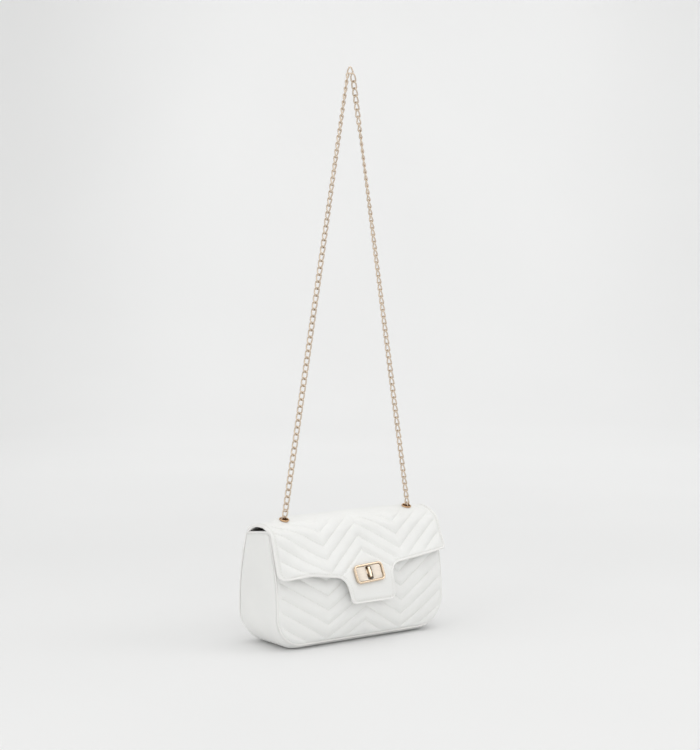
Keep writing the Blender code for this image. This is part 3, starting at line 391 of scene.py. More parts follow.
# Glow of the paper, the product of a factor along each axis: (axis, start, end, low, high)
WALL_GLOW = (("Y", 0.3, 2.1, 0.0, 1.0), ("Z", 0.0, 1.1, 0.12, 0.17), ("X", -1.1, -0.3, 0.3, 1.0),
             ("X", 0.5, 1.2, 1.0, 0.65))

# Lamps as (name, place, width, watts); each is aimed at the bag
LAMPS = (("front", (1.5, -1.6, 1.45), 1.2, 5.5), ("left", (-2.3, -0.6, 1.1), 1.4, 5.0),
         ("fill", (-1.3, -2.4, 0.8), 1.6, 2.3), ("top", (0.2, -0.2, 2.4), 1.5, 5.0))
LAMP_AIM = (0.0, 0.0, 0.1)


def linear(hex_colour):
    """Turn an sRGB hex value into the linear colour that a socket takes."""
    channels = [(hex_colour >> shift & 255) / 255 for shift in (16, 8, 0)]
    return tuple(c / 12.92 if c <= 0.04045 else ((c + 0.055) / 1.055) ** 2.4 for c in channels)


def colour_property(label, text, hex_colour):
    """A colour that the user can change."""
    return FloatVectorProperty(name=label, description=text, default=linear(hex_colour), subtype="COLOR",
                               min=0.0, max=1.0)


def length_property(label, text, value):
    """A length that the user can change."""
    return FloatProperty(name=label, description=text, default=value, unit="LENGTH", min=0.0, precision=4)


class HandbagSizes(bpy.types.PropertyGroup):
    """Sizes of the finish that can be changed without touching the frame."""

    quilt_pitch: length_property("Quilt pitch", "Height of one quilted channel", 0.0176)
    quilt_depth: length_property("Quilt depth", "Depth of the stitched grooves", 0.0019)
    chevron_slope: FloatProperty(name="Chevron slope", description="Rise of a channel over its run",
                                 default=0.68, min=0.1, max=1.5)
    chevron_reach: length_property("Chevron reach", "Width of one leg of a chevron", 0.056)
    stitch_length: length_property("Stitch length", "Length from one stitch to the next", 0.0036)
    thread_width: length_property("Thread width", "Thickness of the sewing thread", 0.0005)
    grain_size: length_property("Grain size", "Width of one pebble of the leather's grain", 0.0009)
    edge_roll: length_property("Edge roll", "Half the width of the flap's rolled edge", 0.0013)
    link_pitch: length_property("Link pitch", "Length that one link adds to the strap", 0.0085)
    link_width: length_property("Link width", "Outer width of a link", 0.0075)
    link_wire: length_property("Link wire", "Thickness of a link's wire", 0.0019)


class HandbagColours(bpy.types.PropertyGroup):
    """Colours of the finishes."""

    leather: colour_property("Leather", "Coated leather of the body and the flap", 0xF1F1EF)
    edge: colour_property("Edges", "Smooth leather of the rolled edges and the piping", 0xF4F3F1)
    gold: colour_property("Rose gold", "Plating of the lock, the rings and the rivets", 0xE8D3BA)
    # The eyelets' colour is deeper and darker than the other plating: painted shade, standing in for the
    # shadow in and round the eyelets.
    eyelet: colour_property("Eyelets", "Plating of the eyelets", 0xD9B38C)
    chain: colour_property("Chain", "Plating of the strap's links", 0xDFCFBD)
    plate: colour_property("Lock plate", "Brushed plating of the lock's face", 0xCCC2B6)
    lining: colour_property("Lining", "Woven cloth inside", 0xC4BDAF)
    thread: colour_property("Thread", "Sewing thread on the leather", 0xEEEDE8)
    board: colour_property("Board", "Stiffening board in the base", 0xA8A39A)
    floor: colour_property("Floor", "Paper that the bag stands on", 0xEDEDED)


def sizes():
    """The sizes that the user set."""
    return bpy.context.scene.handbag_sizes


def colours():
    """The colours that the user set."""
    return bpy.context.scene.handbag_colours


def smooth(value):
    """Ease from 0 to 1 as the value goes from 0 to 1."""
    value = min(max(value, 0.0), 1.0)
    return value * value * (3 - 2 * value)


# Materials

def node(tree, kind, values=None, links=None, **settings):
    """Add a node with its settings, the values of its sockets and the sockets linked into it."""
    made = tree.nodes.new(kind)
    for name, value in settings.items():
        setattr(made, name, value)
    for name, value in (values or {}).items():
        made.inputs[name].default_value = value
    for name, source in (links or {}).items():
        tree.links.new(source, made.inputs[name])
    return made


def start_material(name, **values):
    """Make an empty material with a Principled shader and the place on the piece in metres."""
    material = bpy.data.materials.new(name)
    material.use_nodes = True
    tree = material.node_tree
    tree.nodes.clear()
    shader = node(tree, "ShaderNodeBsdfPrincipled", {key.replace("_", " "): v for key, v in values.items()})
    node(tree, "ShaderNodeOutputMaterial", links={"Surface": shader.outputs["BSDF"]})
    place = node(tree, "ShaderNodeTexCoord").outputs["Object"]
    return material, tree, shader, place


def shades(tree, factor, low, high, start=0.3, end=0.7):
    """Colours between two shades of a finish, driven by a pattern."""
    ramp = node(tree, "ShaderNodeValToRGB", links={"Fac": factor})
    ramp.color_ramp.elements[0].position = start
    ramp.color_ramp.elements[0].color = (*low, 1.0)
    ramp.color_ramp.elements[1].position = end
    ramp.color_ramp.elements[1].color = (*high, 1.0)
    return ramp.outputs["Color"]


def scaled(colour, share):
    """A darker or lighter shade of a colour."""
    return tuple(min(channel * share, 1.0) for channel in colour)


def coated_leather(name, colour, grain_depth, roughness):
    """Polyurethane coated leather, embossed or smooth: a satin skin with pebbles and faint tonal clouds."""
    material, tree, shader, place = start_material(name, Roughness=roughness, IOR=1.5)
    clouds = node(tree, "ShaderNodeTexNoise", {"Scale": 1 / LEATHER_CLOUD, "Detail": 3.0}, {"Vector": place})
    base = shades(tree, clouds.outputs["Fac"], scaled(colour, 0.965), colour)
    tree.links.new(base, shader.inputs["Base Color"])
    # The real grain is about 0.4 mm across and is drawn at the wider grain size so that it shows
    pebbles = node(tree, "ShaderNodeTexVoronoi", {"Scale": 1 / sizes().grain_size, "Randomness": 0.9},
                   {"Vector": place}, feature="SMOOTH_F1")
    pores = node(tree, "ShaderNodeTexNoise", {"Scale": 1 / LEATHER_PORE, "Detail": 2.0}, {"Vector": place})
    grain = node(tree, "ShaderNodeMath", {1: 0.35}, {0: pores.outputs["Fac"]}, operation="MULTIPLY")
    height = node(tree, "ShaderNodeMath", None, {0: pebbles.outputs["Distance"], 1: grain.outputs[0]},
                  operation="ADD")
    bump = node(tree, "ShaderNodeBump", {"Strength": 0.5, "Distance": grain_depth},
                {"Height": height.outputs[0]}, invert=True)
    creases = node(tree, "ShaderNodeTexNoise",
                   {"Scale": 1 / LEATHER_CREASE, "Detail": 4.0, "Distortion": 0.6}, {"Vector": place})
    soft = node(tree, "ShaderNodeBump", {"Strength": 0.25, "Distance": CREASE_DEPTH},
                {"Height": creases.outputs["Fac"], "Normal": bump.outputs["Normal"]})
    tree.links.new(soft.outputs["Normal"], shader.inputs["Normal"])
    wear = node(tree, "ShaderNodeMapRange", {"To Min": roughness - 0.06, "To Max": roughness + 0.08},
                {"Value": creases.outputs["Fac"]})
    tree.links.new(wear.outputs["Result"], shader.inputs["Roughness"])
    return material


def plated_metal(name, colour, roughness):
    """Rose gold plating on polished metal: a warm near-mirror with fine handling scratches."""
    material, tree, shader, place = start_material(name, Metallic=1.0, Roughness=roughness)
    clouds = node(tree, "ShaderNodeTexNoise", {"Scale": 1 / METAL_CLOUD, "Detail": 2.0}, {"Vector": place})
    tree.links.new(shades(tree, clouds.outputs["Fac"], scaled(colour, 0.9), colour),
                   shader.inputs["Base Color"])
    stretch = node(tree, "ShaderNodeMapping", {"Scale": (6.0, 1.0, 1.0), "Rotation": (0.4, 0.3, 0.5)},
                   {"Vector": place})
    scratches = node(tree, "ShaderNodeTexNoise", {"Scale": 1 / METAL_SCRATCH, "Detail": 3.0},
                     {"Vector": stretch.outputs["Vector"]})
    bump = node(tree, "ShaderNodeBump", {"Strength": 0.3, "Distance": SCRATCH_DEPTH},
                {"Height": scratches.outputs["Fac"]})
    tree.links.new(bump.outputs["Normal"], shader.inputs["Normal"])
    haze = node(tree, "ShaderNodeMapRange", {"To Min": roughness * 0.8, "To Max": roughness * 1.3},
                {"Value": clouds.outputs["Fac"]})
    tree.links.new(haze.outputs["Result"], shader.inputs["Roughness"])
    return material


def brushed_plate(name, colour):
    """Rose gold plating over brushed zinc: a satin face with fine lines across the plate."""
    material, tree, shader, place = start_material(name, Metallic=1.0, Roughness=0.32)
    # Brush lines are about 0.1 mm apart and are drawn three times as wide so that they show
    drawn_out = (1.0, BRUSH_LENGTH_TO_WIDTH, BRUSH_LENGTH_TO_WIDTH)
    lines = node(tree, "ShaderNodeMapping", {"Scale": drawn_out}, {"Vector": place})
    brush = node(tree, "ShaderNodeTexNoise", {"Scale": 1 / BRUSH_LENGTH, "Detail": 3.0},
                 {"Vector": lines.outputs["Vector"]})
    tree.links.new(shades(tree, brush.outputs["Fac"], scaled(colour, 0.86), colour),
                   shader.inputs["Base Color"])
    bump = node(tree, "ShaderNodeBump", {"Strength": 0.4, "Distance": BRUSH_DEPTH},
                {"Height": brush.outputs["Fac"]})
    tree.links.new(bump.outputs["Normal"], shader.inputs["Normal"])
    return material


def woven_lining(name, colour):
    """Woven polyester lining: a dull taupe cloth with a plain weave and a soft sheen."""
    material, tree, shader, place = start_material(name, Roughness=0.85, Sheen_Weight=0.25)
    # Threads are about 0.25 mm apart and are drawn 1.4 mm apart so that the weave shows
    settings = {"Scale": WAVE_BAND / WEAVE_WIDTH, "Distortion": 0.4, "Detail": 1.0}
    warp = node(tree, "ShaderNodeTexWave", settings, {"Vector": place}, bands_direction="X")
    weft = node(tree, "ShaderNodeTexWave", settings, {"Vector": place}, bands_direction="Z")
    weave = node(tree, "ShaderNodeMath", None, {0: warp.outputs["Fac"], 1: weft.outputs["Fac"]},
                 operation="MULTIPLY")
    tree.links.new(shades(tree, weave.outputs[0], scaled(colour, 0.72), colour, 0.0, 0.8),
                   shader.inputs["Base Color"])
    bump = node(tree, "ShaderNodeBump", {"Strength": 0.5, "Distance": WEAVE_DEPTH},
                {"Height": weave.outputs[0]})
    tree.links.new(bump.outputs["Normal"], shader.inputs["Normal"])
    return material


def sewing_thread(name, colour):
    """Twisted polyester thread: a pale matt cord whose plies catch the light."""
    material, tree, shader, place = start_material(name, Roughness=0.55, Sheen_Weight=0.2)
    # Plies are about 0.3 mm apart and are drawn 1.4 mm apart so that they show
    plies = node(tree, "ShaderNodeTexWave", {"Scale": DIAGONAL_WAVE_BAND / PLY_WIDTH, "Distortion": 1.0},
                 {"Vector": place}, bands_direction="DIAGONAL")
    tree.links.new(shades(tree, plies.outputs["Fac"], scaled(colour, 0.86), colour, 0.1, 0.9),
                   shader.inputs["Base Color"])
    bump = node(tree, "ShaderNodeBump", {"Strength": 0.5, "Distance": PLY_DEPTH},
                {"Height": plies.outputs["Fac"]})
    tree.links.new(bump.outputs["Normal"], shader.inputs["Normal"])
    return material


def grey_board(name, colour):
    """Pressed greyboard: matt paper pulp with flecks of fibre."""
    material, tree, shader, place = start_material(name, Roughness=0.92)
    flecks = node(tree, "ShaderNodeTexNoise", {"Scale": 1 / BOARD_FLECK, "Detail": 6.0}, {"Vector": place})
    tree.links.new(shades(tree, flecks.outputs["Fac"], scaled(colour, 0.8), colour),
                   shader.inputs["Base Color"])
    return material


def studio_paper(name, colour):
    """Matt studio paper: an even pale ground, whose wall glows a little for the camera and for mirrors."""
    material, tree, shader, place = start_material(name, Roughness=0.95)
    grain = node(tree, "ShaderNodeTexNoise", {"Scale": 1 / PAPER_CLOUD, "Detail": 1.0}, {"Vector": place})
    tree.links.new(shades(tree, grain.outputs["Fac"], scaled(colour, 0.985), colour),
                   shader.inputs["Base Color"])
    # The glow lights nothing: only rays from the camera, mirrors and glass see it
    ray = node(tree, "ShaderNodeLightPath").outputs
    mirrored = node(tree, "ShaderNodeMath", None, {0: ray["Is Glossy Ray"], 1: ray["Is Transmission Ray"]},
                    operation="ADD")
    glow = node(tree, "ShaderNodeMath", None, {0: ray["Is Camera Ray"], 1: mirrored.outputs[0]},
                operation="ADD", use_clamp=True).outputs[0]
    spot = node(tree, "ShaderNodeSeparateXYZ", links={"Vector": place}).outputs
    for axis, start, end, low, high in WALL_GLOW:
        ends = {"From Min": start, "From Max": end, "To Min": low, "To Max": high}
        part = node(tree, "ShaderNodeMapRange", ends, {"Value": spot[axis]}, interpolation_type="SMOOTHSTEP")
        glow = node(tree, "ShaderNodeMath", None, {0: glow, 1: part.outputs["Result"]},
                    operation="MULTIPLY").outputs[0]
    shader.inputs["Emission Color"].default_value = (*linear(0xFDFEFF), 1.0)
    tree.links.new(glow, shader.inputs["Emission Strength"])
    return material


FINISHES = {}


def finishes():
    """All materials of the bag, made once."""
    if not FINISHES:
        hues = colours()
        FINISHES.update({
            "leather": coated_leather("coated leather embossed", hues.leather, EMBOSSED_DEPTH, 0.46),
            "edge": coated_leather("coated leather smooth", hues.edge, SMOOTH_DEPTH, 0.42),
            "gold": plated_metal("rose gold plated zinc", hues.gold, 0.16),
            # The eyelets' darker plating colour is painted shade for the shadow in and round them.
            "eyelet": plated_metal("rose gold plated brass with painted shade", hues.eyelet, 0.18),
            "chain": plated_metal("rose gold plated wire", hues.chain, 0.20),
            "plate": brushed_plate("rose gold brushed plate", hues.plate),
            "lining": woven_lining("polyester lining woven", hues.lining),
            "thread": sewing_thread("polyester thread twisted", hues.thread),
            "board": grey_board("greyboard pressed", hues.board),
        })
    return FINISHES


# Mesh tools

def piece_from(work, name, finish, sharp=LEATHER_SHARP):
    """Turn a bmesh into a smooth-shaded piece with its finish."""
    bmesh.ops.recalc_face_normals(work, faces=work.faces)
    mesh = bpy.data.meshes.new(name)
    work.to_mesh(mesh)
    work.free()
    mesh.shade_smooth()
    mesh.set_sharp_from_angle(angle=radians(sharp))
    piece = bpy.data.objects.new(name, mesh)
    bpy.context.scene.collection.objects.link(piece)
    mesh.materials.append(finishes()[finish])
    return piece


def dress(node_name, finish):
    """Give one of the frame's own pieces its finish."""
    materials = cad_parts[node_name].data.materials
    materials.clear()
    materials.append(finishes()[finish])


def settle(piece):
    """Apply a piece's modifiers."""
    seen = piece.evaluated_get(bpy.context.evaluated_depsgraph_get())
    mesh = bpy.data.meshes.new_from_object(seen)
    mesh.name = piece.name
    piece.modifiers.clear()
    piece.data = mesh
    return piece


def draped_grid(columns, rows, place):
    """Grid whose points come from a function of column and row; points that meet are merged."""
    work = bmesh.new()
    bmesh.ops.create_grid(work, x_segments=columns, y_segments=rows, size=0.5)
    for vertex in work.verts:
        column = round((vertex.co.x + 0.5) * columns)
        row = round((vertex.co.y + 0.5) * rows)
        vertex.co = place(column, row)
    bmesh.ops.remove_doubles(work, verts=work.verts, dist=GAP / 100)
    bmesh.ops.dissolve_degenerate(work, edges=work.edges, dist=GAP / 100)
    return work


def skin(work, name, finish, thickness, outward):
    """Give an open surface a thickness away from the direction in which it faces outwards."""
    piece = piece_from(work, name, finish)
    mesh = piece.data
    facing = sum(polygon.normal.dot(outward(polygon.center)) * polygon.area for polygon in mesh.polygons)
    if facing < 0:
        mesh.flip_normals()
    shell = piece.modifiers.new("thickness", "SOLIDIFY")
    shell.thickness = thickness
    shell.offset = -1.0
    return settle(piece)


def block(name, outline, low, high, matrix):
    """Closed cutter: a flat outline extruded between two levels of its frame."""
    work = bmesh.new()
    base = [work.verts.new(matrix @ Vector((x, y, low))) for x, y in outline]
    top = [work.verts.new(matrix @ Vector((x, y, high))) for x, y in outline]
    work.faces.new(base[::-1])
    work.faces.new(top)
    for index in range(len(base)):
        after = (index + 1) % len(base)
        work.faces.new((base[index], base[after], top[after], top[index]))
    bmesh.ops.recalc_face_normals(work, faces=work.faces)
    mesh = bpy.data.meshes.new(name)
    work.to_mesh(mesh)
    work.free()
    piece = bpy.data.objects.new(name, mesh)
    bpy.context.scene.collection.objects.link(piece)
    return piece


def cut(piece, cutter, operation="DIFFERENCE"):
    """Cut a piece with a block and remove the block."""
    modifier = piece.modifiers.new("cut", "BOOLEAN")
    modifier.operation = operation
    modifier.solver = "EXACT"
    modifier.object = cutter
    bpy.context.view_layer.update()
    settle(piece)
    bpy.data.objects.remove(cutter, do_unlink=True)


def tube_along(work, path, across, sides, closed):
    """Sweep a section along a path; across(index) gives the two half axes of the section there."""
    rings = []
    for index, point in enumerate(path):
        first, second = across(index)
        rings.append([work.verts.new(point + first * cos(2 * pi * side / sides)
                                     + second * sin(2 * pi * side / sides)) for side in range(sides)])
    pairs = list(zip(rings, rings[1:]))
    if closed:
        pairs.append((rings[-1], rings[0]))
    for ring, after in pairs:
        for side in range(sides):
            other = (side + 1) % sides
            work.faces.new((ring[side], ring[other], after[other], after[side]))
    if not closed:
        work.faces.new(rings[0][::-1])
        work.faces.new(rings[-1])


def tangent(path, index, closed):
    """Direction of a path at one of its points."""
    count = len(path)
    before = path[index - 1] if closed or index else path[index]
    after = path[(index + 1) % count] if closed or index < count - 1 else path[index]
    return (after - before).normalized()


def round_tube(work, path, radius, sides, closed=False):
    """Sweep a round section along a path without twist."""
    side = tangent(path, 0, closed).orthogonal().normalized()
    frames = []
    for index in range(len(path)):
        forward = tangent(path, index, closed)
        side = (side - forward * side.dot(forward)).normalized()
        frames.append((side * radius, forward.cross(side) * radius))
    tube_along(work, path, lambda index: frames[index], sides, closed)


def turned(work, profile, matrix, steps):
    """Turn a closed (radius, height) profile about the frame's Z axis."""
    rings = []
    for radius, height in profile:
        if radius < GAP / 100:
            rings.append([work.verts.new(matrix @ Vector((0.0, 0.0, height)))])
            continue
        rings.append([work.verts.new(matrix @ Vector((radius * cos(2 * pi * step / steps),
                                                      radius * sin(2 * pi * step / steps), height)))
                      for step in range(steps)])
    for ring, after in zip(rings, rings[1:] + rings[:1]):
        for step in range(steps):
            corners = [ring[step % len(ring)], ring[(step + 1) % len(ring)],
                       after[(step + 1) % len(after)], after[step % len(after)]]
            corners = list(dict.fromkeys(corners))
            if len(corners) > 2 and not work.faces.get(corners):
                work.faces.new(corners)


def rounded(corners, closed=True, steps=10):
    """Turn (x, y, radius) corners into points, each radius as an arc."""
    points = []
    count = len(corners)
    for index, (x, y, radius) in enumerate(corners):
        here = Vector((x, y))
        inner = closed or 0 < index < count - 1
        if radius <= 0 or not inner:
            points.append(here)
            continue
        before = Vector(corners[index - 1][:2])
        after = Vector(corners[(index + 1) % count][:2])
        to_before = (before - here).normalized()
        to_after = (after - here).normalized()
        half = to_before.angle(to_after) / 2
        reach = radius * cos(half) / sin(half)
        centre = here + (to_before + to_after).normalized() * (radius / sin(half))
        start = here + to_before * reach - centre
        sweep = start.angle_signed(here + to_after * reach - centre)
        points += [centre + Matrix.Rotation(-sweep * step / steps, 2) @ start for step in range(steps + 1)]
    return points


def rectangle(width, height, radius, middle=(0.0, 0.0), steps=10):
    """Rounded rectangle about a middle point."""
    x, y = middle
    return rounded([(x - width / 2, y - height / 2, radius), (x + width / 2, y - height / 2, radius),
                    (x + width / 2, y + height / 2, radius), (x - width / 2, y + height / 2, radius)],
                   steps=steps)


def divided(points, spacing, closed=False):
    """Points along a path, none further apart than the spacing."""
    pairs = list(zip(points, points[1:] + points[:1] if closed else points[1:]))
    result = []
    for a, b in pairs:
        parts = max(1, ceil((b - a).length / spacing))
        result += [a.lerp(b, step / parts) for step in range(parts)]
    return result if closed else result + [points[-1].copy()]


def inset(points, distance):
    """Move a closed outline that runs anticlockwise inwards by a distance."""
    moved = []
    for before, point, after in zip(points[-1:] + points[:-1], points, points[1:] + points[:1]):
        into = (point - before).normalized()
        out = (after - point).normalized()
        left_in = Vector((-into.y, into.x))
        left_out = Vector((-out.y, out.x))
        moved.append(point + (left_in + left_out) * (distance / (1 + left_in.dot(left_out))))
    return moved


def smooth_curve(knots, steps=6):
    """Read points from a smooth curve through the knots."""
    points = []
    ends = [knots[0] * 2 - knots[1], *knots, knots[-1] * 2 - knots[-2]]
    for a, b, c, d in zip(ends, ends[1:], ends[2:], ends[3:]):
        for step in range(steps):
            t = step / steps
            points.append(0.5 * (2 * b + (c - a) * t + (2 * a - 5 * b + 4 * c - d) * t ** 2
                                 + (3 * b - a - 3 * c + d) * t ** 3))
    points.append(knots[-1].copy())
    return points


class Measured:
    """A path that can be read at any length along it."""

    def __init__(self, points, closed=False):
        self.points = list(points) + ([points[0]] if closed else [])
        self.marks = [0.0]
        for a, b in zip(self.points, self.points[1:]):
            self.marks.append(self.marks[-1] + (b - a).length)
        self.length = self.marks[-1]

    def at(self, length):
        """Point at a length, and the direction there."""
        index = min(max(bisect_right(self.marks, length) - 1, 0), len(self.points) - 2)
        a, b = self.points[index], self.points[index + 1]
        span = self.marks[index + 1] - self.marks[index]
        return a + (b - a) * ((length - self.marks[index]) / span), (b - a).normalized()


# Shape of the body

def half_depth(z):
    """Half the body's depth at a height: full at the base, drawn in towards the mouth."""
    share = max((z / MOUTH_HEIGHT - NARROWING_START_SHARE) / (1 - NARROWING_START_SHARE), 0.0)
    return (BODY_DEPTH - (BODY_DEPTH - MOUTH_DEPTH) * share ** 2) / 2


def seam_outline(inwards=0.0):
    """Rounded outline of the side and base seams as (x, z), from the left mouth corner to the right one."""
    half = BODY_WIDTH / 2 - inwards
    base = BASE_CROWN + inwards
    radius = BODY_CORNER - inwards
    return rounded([(-half, MOUTH_HEIGHT, 0.0), (-half, base, radius), (half, base, radius),
                    (half, MOUTH_HEIGHT, 0.0)], closed=False, steps=SEAM_CORNER_STEPS)


def swell(x, z, amount):
    """How far a filled panel stands out of the plane of its seams."""
    across = min(abs(x) / (BODY_WIDTH / 2), 1.0)
    up = min(max((z - BASE_CROWN) / (MOUTH_HEIGHT - BASE_CROWN), 0.0), 1.0)
    peak = BULGE_RISE_SHARE / (BULGE_RISE_SHARE + BULGE_FALL_SHARE)
    top = peak ** BULGE_RISE_SHARE * (1 - peak) ** BULGE_FALL_SHARE
    rise = up ** BULGE_RISE_SHARE * (1 - up) ** BULGE_FALL_SHARE / top
    return amount * rise * (1 - across ** 2) ** BULGE_SIDE_POWER


def panel_outside(x, z, amount):
    """Distance of a quilted panel's crests from the middle plane of the bag."""
    return half_depth(z) + GAP + PANEL_TOTAL + swell(x, z, amount)


def edge_distance(x, z, inwards):
    """Distance of a point of a panel from its seam."""
    half = BODY_WIDTH / 2 - inwards
    radius = BODY_CORNER - inwards
    from_side = half - abs(x)
    from_base = z - BASE_CROWN - inwards
    if from_side < radius and from_base < radius:
        return radius - hypot(radius - from_side, radius - from_base)
    return min(from_side, from_base)


def chevron_knots(shares):
    """Corners of a chevron line as (x, how far it lies below its middle point)."""
    reach = sizes().chevron_reach
    return [(across * reach, drop * reach * sizes().chevron_slope) for across, drop in shares]


def dip_on(knots, x):
    """How far a chevron line lies below its middle point at a place across."""
    for (left, start), (right, end) in zip(knots, knots[1:]):
        if x <= right:
            break
    return start + (end - start) * (x - left) / (right - left)


def panel_level(x, z):
    """Number of quilted channels under a place on a panel."""
    return (z + dip_on(chevron_knots(PANEL_CHEVRON), x)) / sizes().quilt_pitch + PANEL_PHASE


def flap_level(x, run):
    """Number of quilted channels between the fold and a place on the flap."""
    return (run - dip_on(chevron_knots(FLAP_CHEVRON), x)) / sizes().quilt_pitch + FLAP_PHASE


def puff(level):
    """Height share across one quilted channel: 0 in its stitched groove and 1 on its crest."""
    return 1 - abs(2 * (level % 1.0) - 1) ** PUFF_POWER


def pucker(x, run, level):
    """Small wrinkles that the stitching pulls into the leather beside a groove."""
    near_groove = (1 - puff(level)) ** 0.5
    return PUCKER_HEIGHT * near_groove * noise.noise(Vector((x / PUCKER_WIDTH, run / PUCKER_LENGTH, 0.0)))


def column_places(knots, half_width, corner=0.0):
    """Places across a panel that meet the chevron's points, closer together round the corners."""
    marks = [corner - half_width, *[x for x, drop in knots[1:-1]], half_width - corner]
    places = [marks[0]]
    for low, high in zip(marks, marks[1:]):
        parts = ceil((high - low) / COLUMN_SPACING)
        places += [low + (high - low) * step / parts for step in range(1, parts + 1)]
    corner_steps = CORNER_COLUMNS if corner else 0
    rounding = [half_width - corner + corner * sin(pi / 2 * step / corner_steps)
                for step in range(1, corner_steps + 1)]
    return [-place for place in reversed(rounding)] + places + rounding


def quilted_panel(name, side, amount):
    """One quilted panel between its seams; side is -1 in front and 1 at the back."""
    tuck = WELT_RADIUS
    half = BODY_WIDTH / 2 - tuck
    radius = BODY_CORNER - tuck
    knots = chevron_knots(PANEL_CHEVRON)
    places = column_places(knots, half, radius)
    dips = [dip_on(knots, x) for x in places]
    step = sizes().quilt_pitch / ROWS_PER_CHANNEL
    first = floor(min(dips) / step) - 1
    rows = ceil((MOUTH_HEIGHT + max(dips)) / step) + 2 - first
    depth = sizes().quilt_depth
    offset = step * (round(PANEL_PHASE * ROWS_PER_CHANNEL) - PANEL_PHASE * ROWS_PER_CHANNEL)

    def lowest(x):
        beyond = abs(x) - (half - radius)
        drop = sqrt(max(radius ** 2 - beyond ** 2, 0.0)) if beyond > 0 else radius
        return BASE_CROWN + tuck + radius - drop

    def place(column, row):
        x = places[column]
        z = min(max((first + row) * step + offset - dips[column], lowest(x)), MOUTH_HEIGHT)
        level = panel_level(x, z)
        inside = edge_distance(x, z, tuck)
        fullness = smooth(inside / BORDER)
        lift = -depth * (1 - puff(level)) * fullness - depth * SEAM_SINK_SHARE * (1 - fullness)
        roll = max(0.0, 1 - inside / (SEAM_ROLL_REACH_IN_RADII * WELT_RADIUS))
        lift -= SEAM_ROLL_DEPTH_IN_RADII * WELT_RADIUS * (1 - sqrt(1 - roll ** 2))
        wave = noise.noise(Vector((x, PANEL_WAVE_LAYER, z)) / PANEL_WAVE_LENGTH)
        lift += fullness * (pucker(x, z, level) - PANEL_SETTLE + PANEL_WAVE * wave)
        return (x, side * (panel_outside(x, z, amount) + lift), z + corner_rise(side, x, z))

    work = draped_grid(len(places) - 1, rows, place)
    return skin(work, name, "leather", LEATHER_THICKNESS, lambda centre: Vector((0.0, side, 0.0)))


def mouth_rise(y):
    """How far the top of a side stands above the mouth's corners; higher towards the front."""
    share = min(abs(y) / half_depth(MOUTH_HEIGHT), 1.0)
    return (SIDE_RISE - SIDE_RISE_SLOPE * y) * (1 - (1 - SIDE_RISE_LEFT_AT_CORNERS) * share ** 10)


def corner_rise(side, x, z):
    """How far a panel's top corner is drawn up to meet the top of the side."""
    near_end = smooth((abs(x) - BODY_WIDTH / 2 + CORNER_RISE_REACH) / CORNER_RISE_REACH)
    near_top = smooth((z - MOUTH_HEIGHT + 2 * CORNER_RISE_REACH) / (2 * CORNER_RISE_REACH))
    return mouth_rise(side * half_depth(MOUTH_HEIGHT)) * near_end * near_top


def gusset_sheet():
    """The strip that makes the sides and the base, crowned between its seams, with turned edges."""
    path = divided(seam_outline(), SEAM_SPACING)
    waves = GUSSET_WAVES_PER_METRE

    def place(column, row):
        point = path[column]
        direction = path[min(column + 1, len(path) - 1)] - path[max(column - 1, 0)]
        outward = Vector((direction.y, -direction.x)).normalized()
        across = 2 * row / GUSSET_ROWS - 1
        arch = 1 - max(0.0, (abs(across) - FLAT_SHARE) / (1 - FLAT_SHARE)) ** 2
        side_way = abs(outward.x)
        crown = (SIDE_CROWN + (BASE_CROWN - SIDE_CROWN) * max(0.0, -outward.y)) * arch
        y = across * half_depth(point.y)
        slack = noise.noise(Vector((point.x * waves[0], y * waves[1], point.y * waves[2])))
        hollow = GUSSET_SLACK * side_way * smooth((point.y - GUSSET_SLACK_FROM) / GUSSET_SLACK_RISE)
        spot = point + outward * (crown + hollow * (slack - GUSSET_SLACK_OUTWARD_SHARE) * arch)
        edge = smooth((abs(across) - GUSSET_EDGE_SHARE) / (1 - GUSSET_EDGE_SHARE))
        spot -= outward * edge * GUSSET_EDGE_TURN
        rise = mouth_rise(y) * smooth((point.y - MOUTH_HEIGHT + SIDE_RISE_REACH) / SIDE_RISE_REACH)
        return (spot.x, y, max(spot.y, 0.0) + rise)

    work = draped_grid(len(path) - 1, GUSSET_ROWS, place)
    middle = Vector((0.0, 0.0, MOUTH_HEIGHT))
    return skin(work, "gusset_leather", "leather", LEATHER_THICKNESS, lambda centre: centre - middle)


def seam_piping(name, side):
    """The thin piping sewn between a panel and the gusset."""
    radius = WELT_RADIUS * WELT_SHOWN_SHARE
    path = divided(seam_outline(WELT_RADIUS * WELT_INSET_SHARE), SEAM_SPACING)
    points = [Vector((p.x, side * (half_depth(p.y) + GAP + radius), p.y + corner_rise(side, p.x, p.y)))
              for p in path]
    work = bmesh.new()
    round_tube(work, points, radius, WIRE_SIDES)
    return piece_from(work, name, "edge")


def mouth_edge():
    """The turned leather edge round the mouth, raised over the two sides."""
    half_x = BODY_WIDTH / 2 - MOUTH_EDGE_INSET
    half_y = half_depth(MOUTH_HEIGHT) + MOUTH_EDGE_STAND_OFF - MOUTH_EDGE_INSET
    flat = divided(rectangle(2 * half_x, 2 * half_y, MOUTH_EDGE_CORNER, steps=6), MOUTH_EDGE_SPACING,
                   closed=True)
    points = []
    for p in flat:
        near_end = smooth((abs(p.x) - half_x + CORNER_RISE_REACH) / CORNER_RISE_REACH)
        points.append(Vector((p.x, p.y, MOUTH_HEIGHT + MOUTH_EDGE_LIFT + mouth_rise(p.y) * near_end)))
    work = bmesh.new()
    round_tube(work, points, MOUTH_EDGE_RADIUS, EDGE_SIDES, closed=True)
    return piece_from(work, "mouth_edge", "edge")


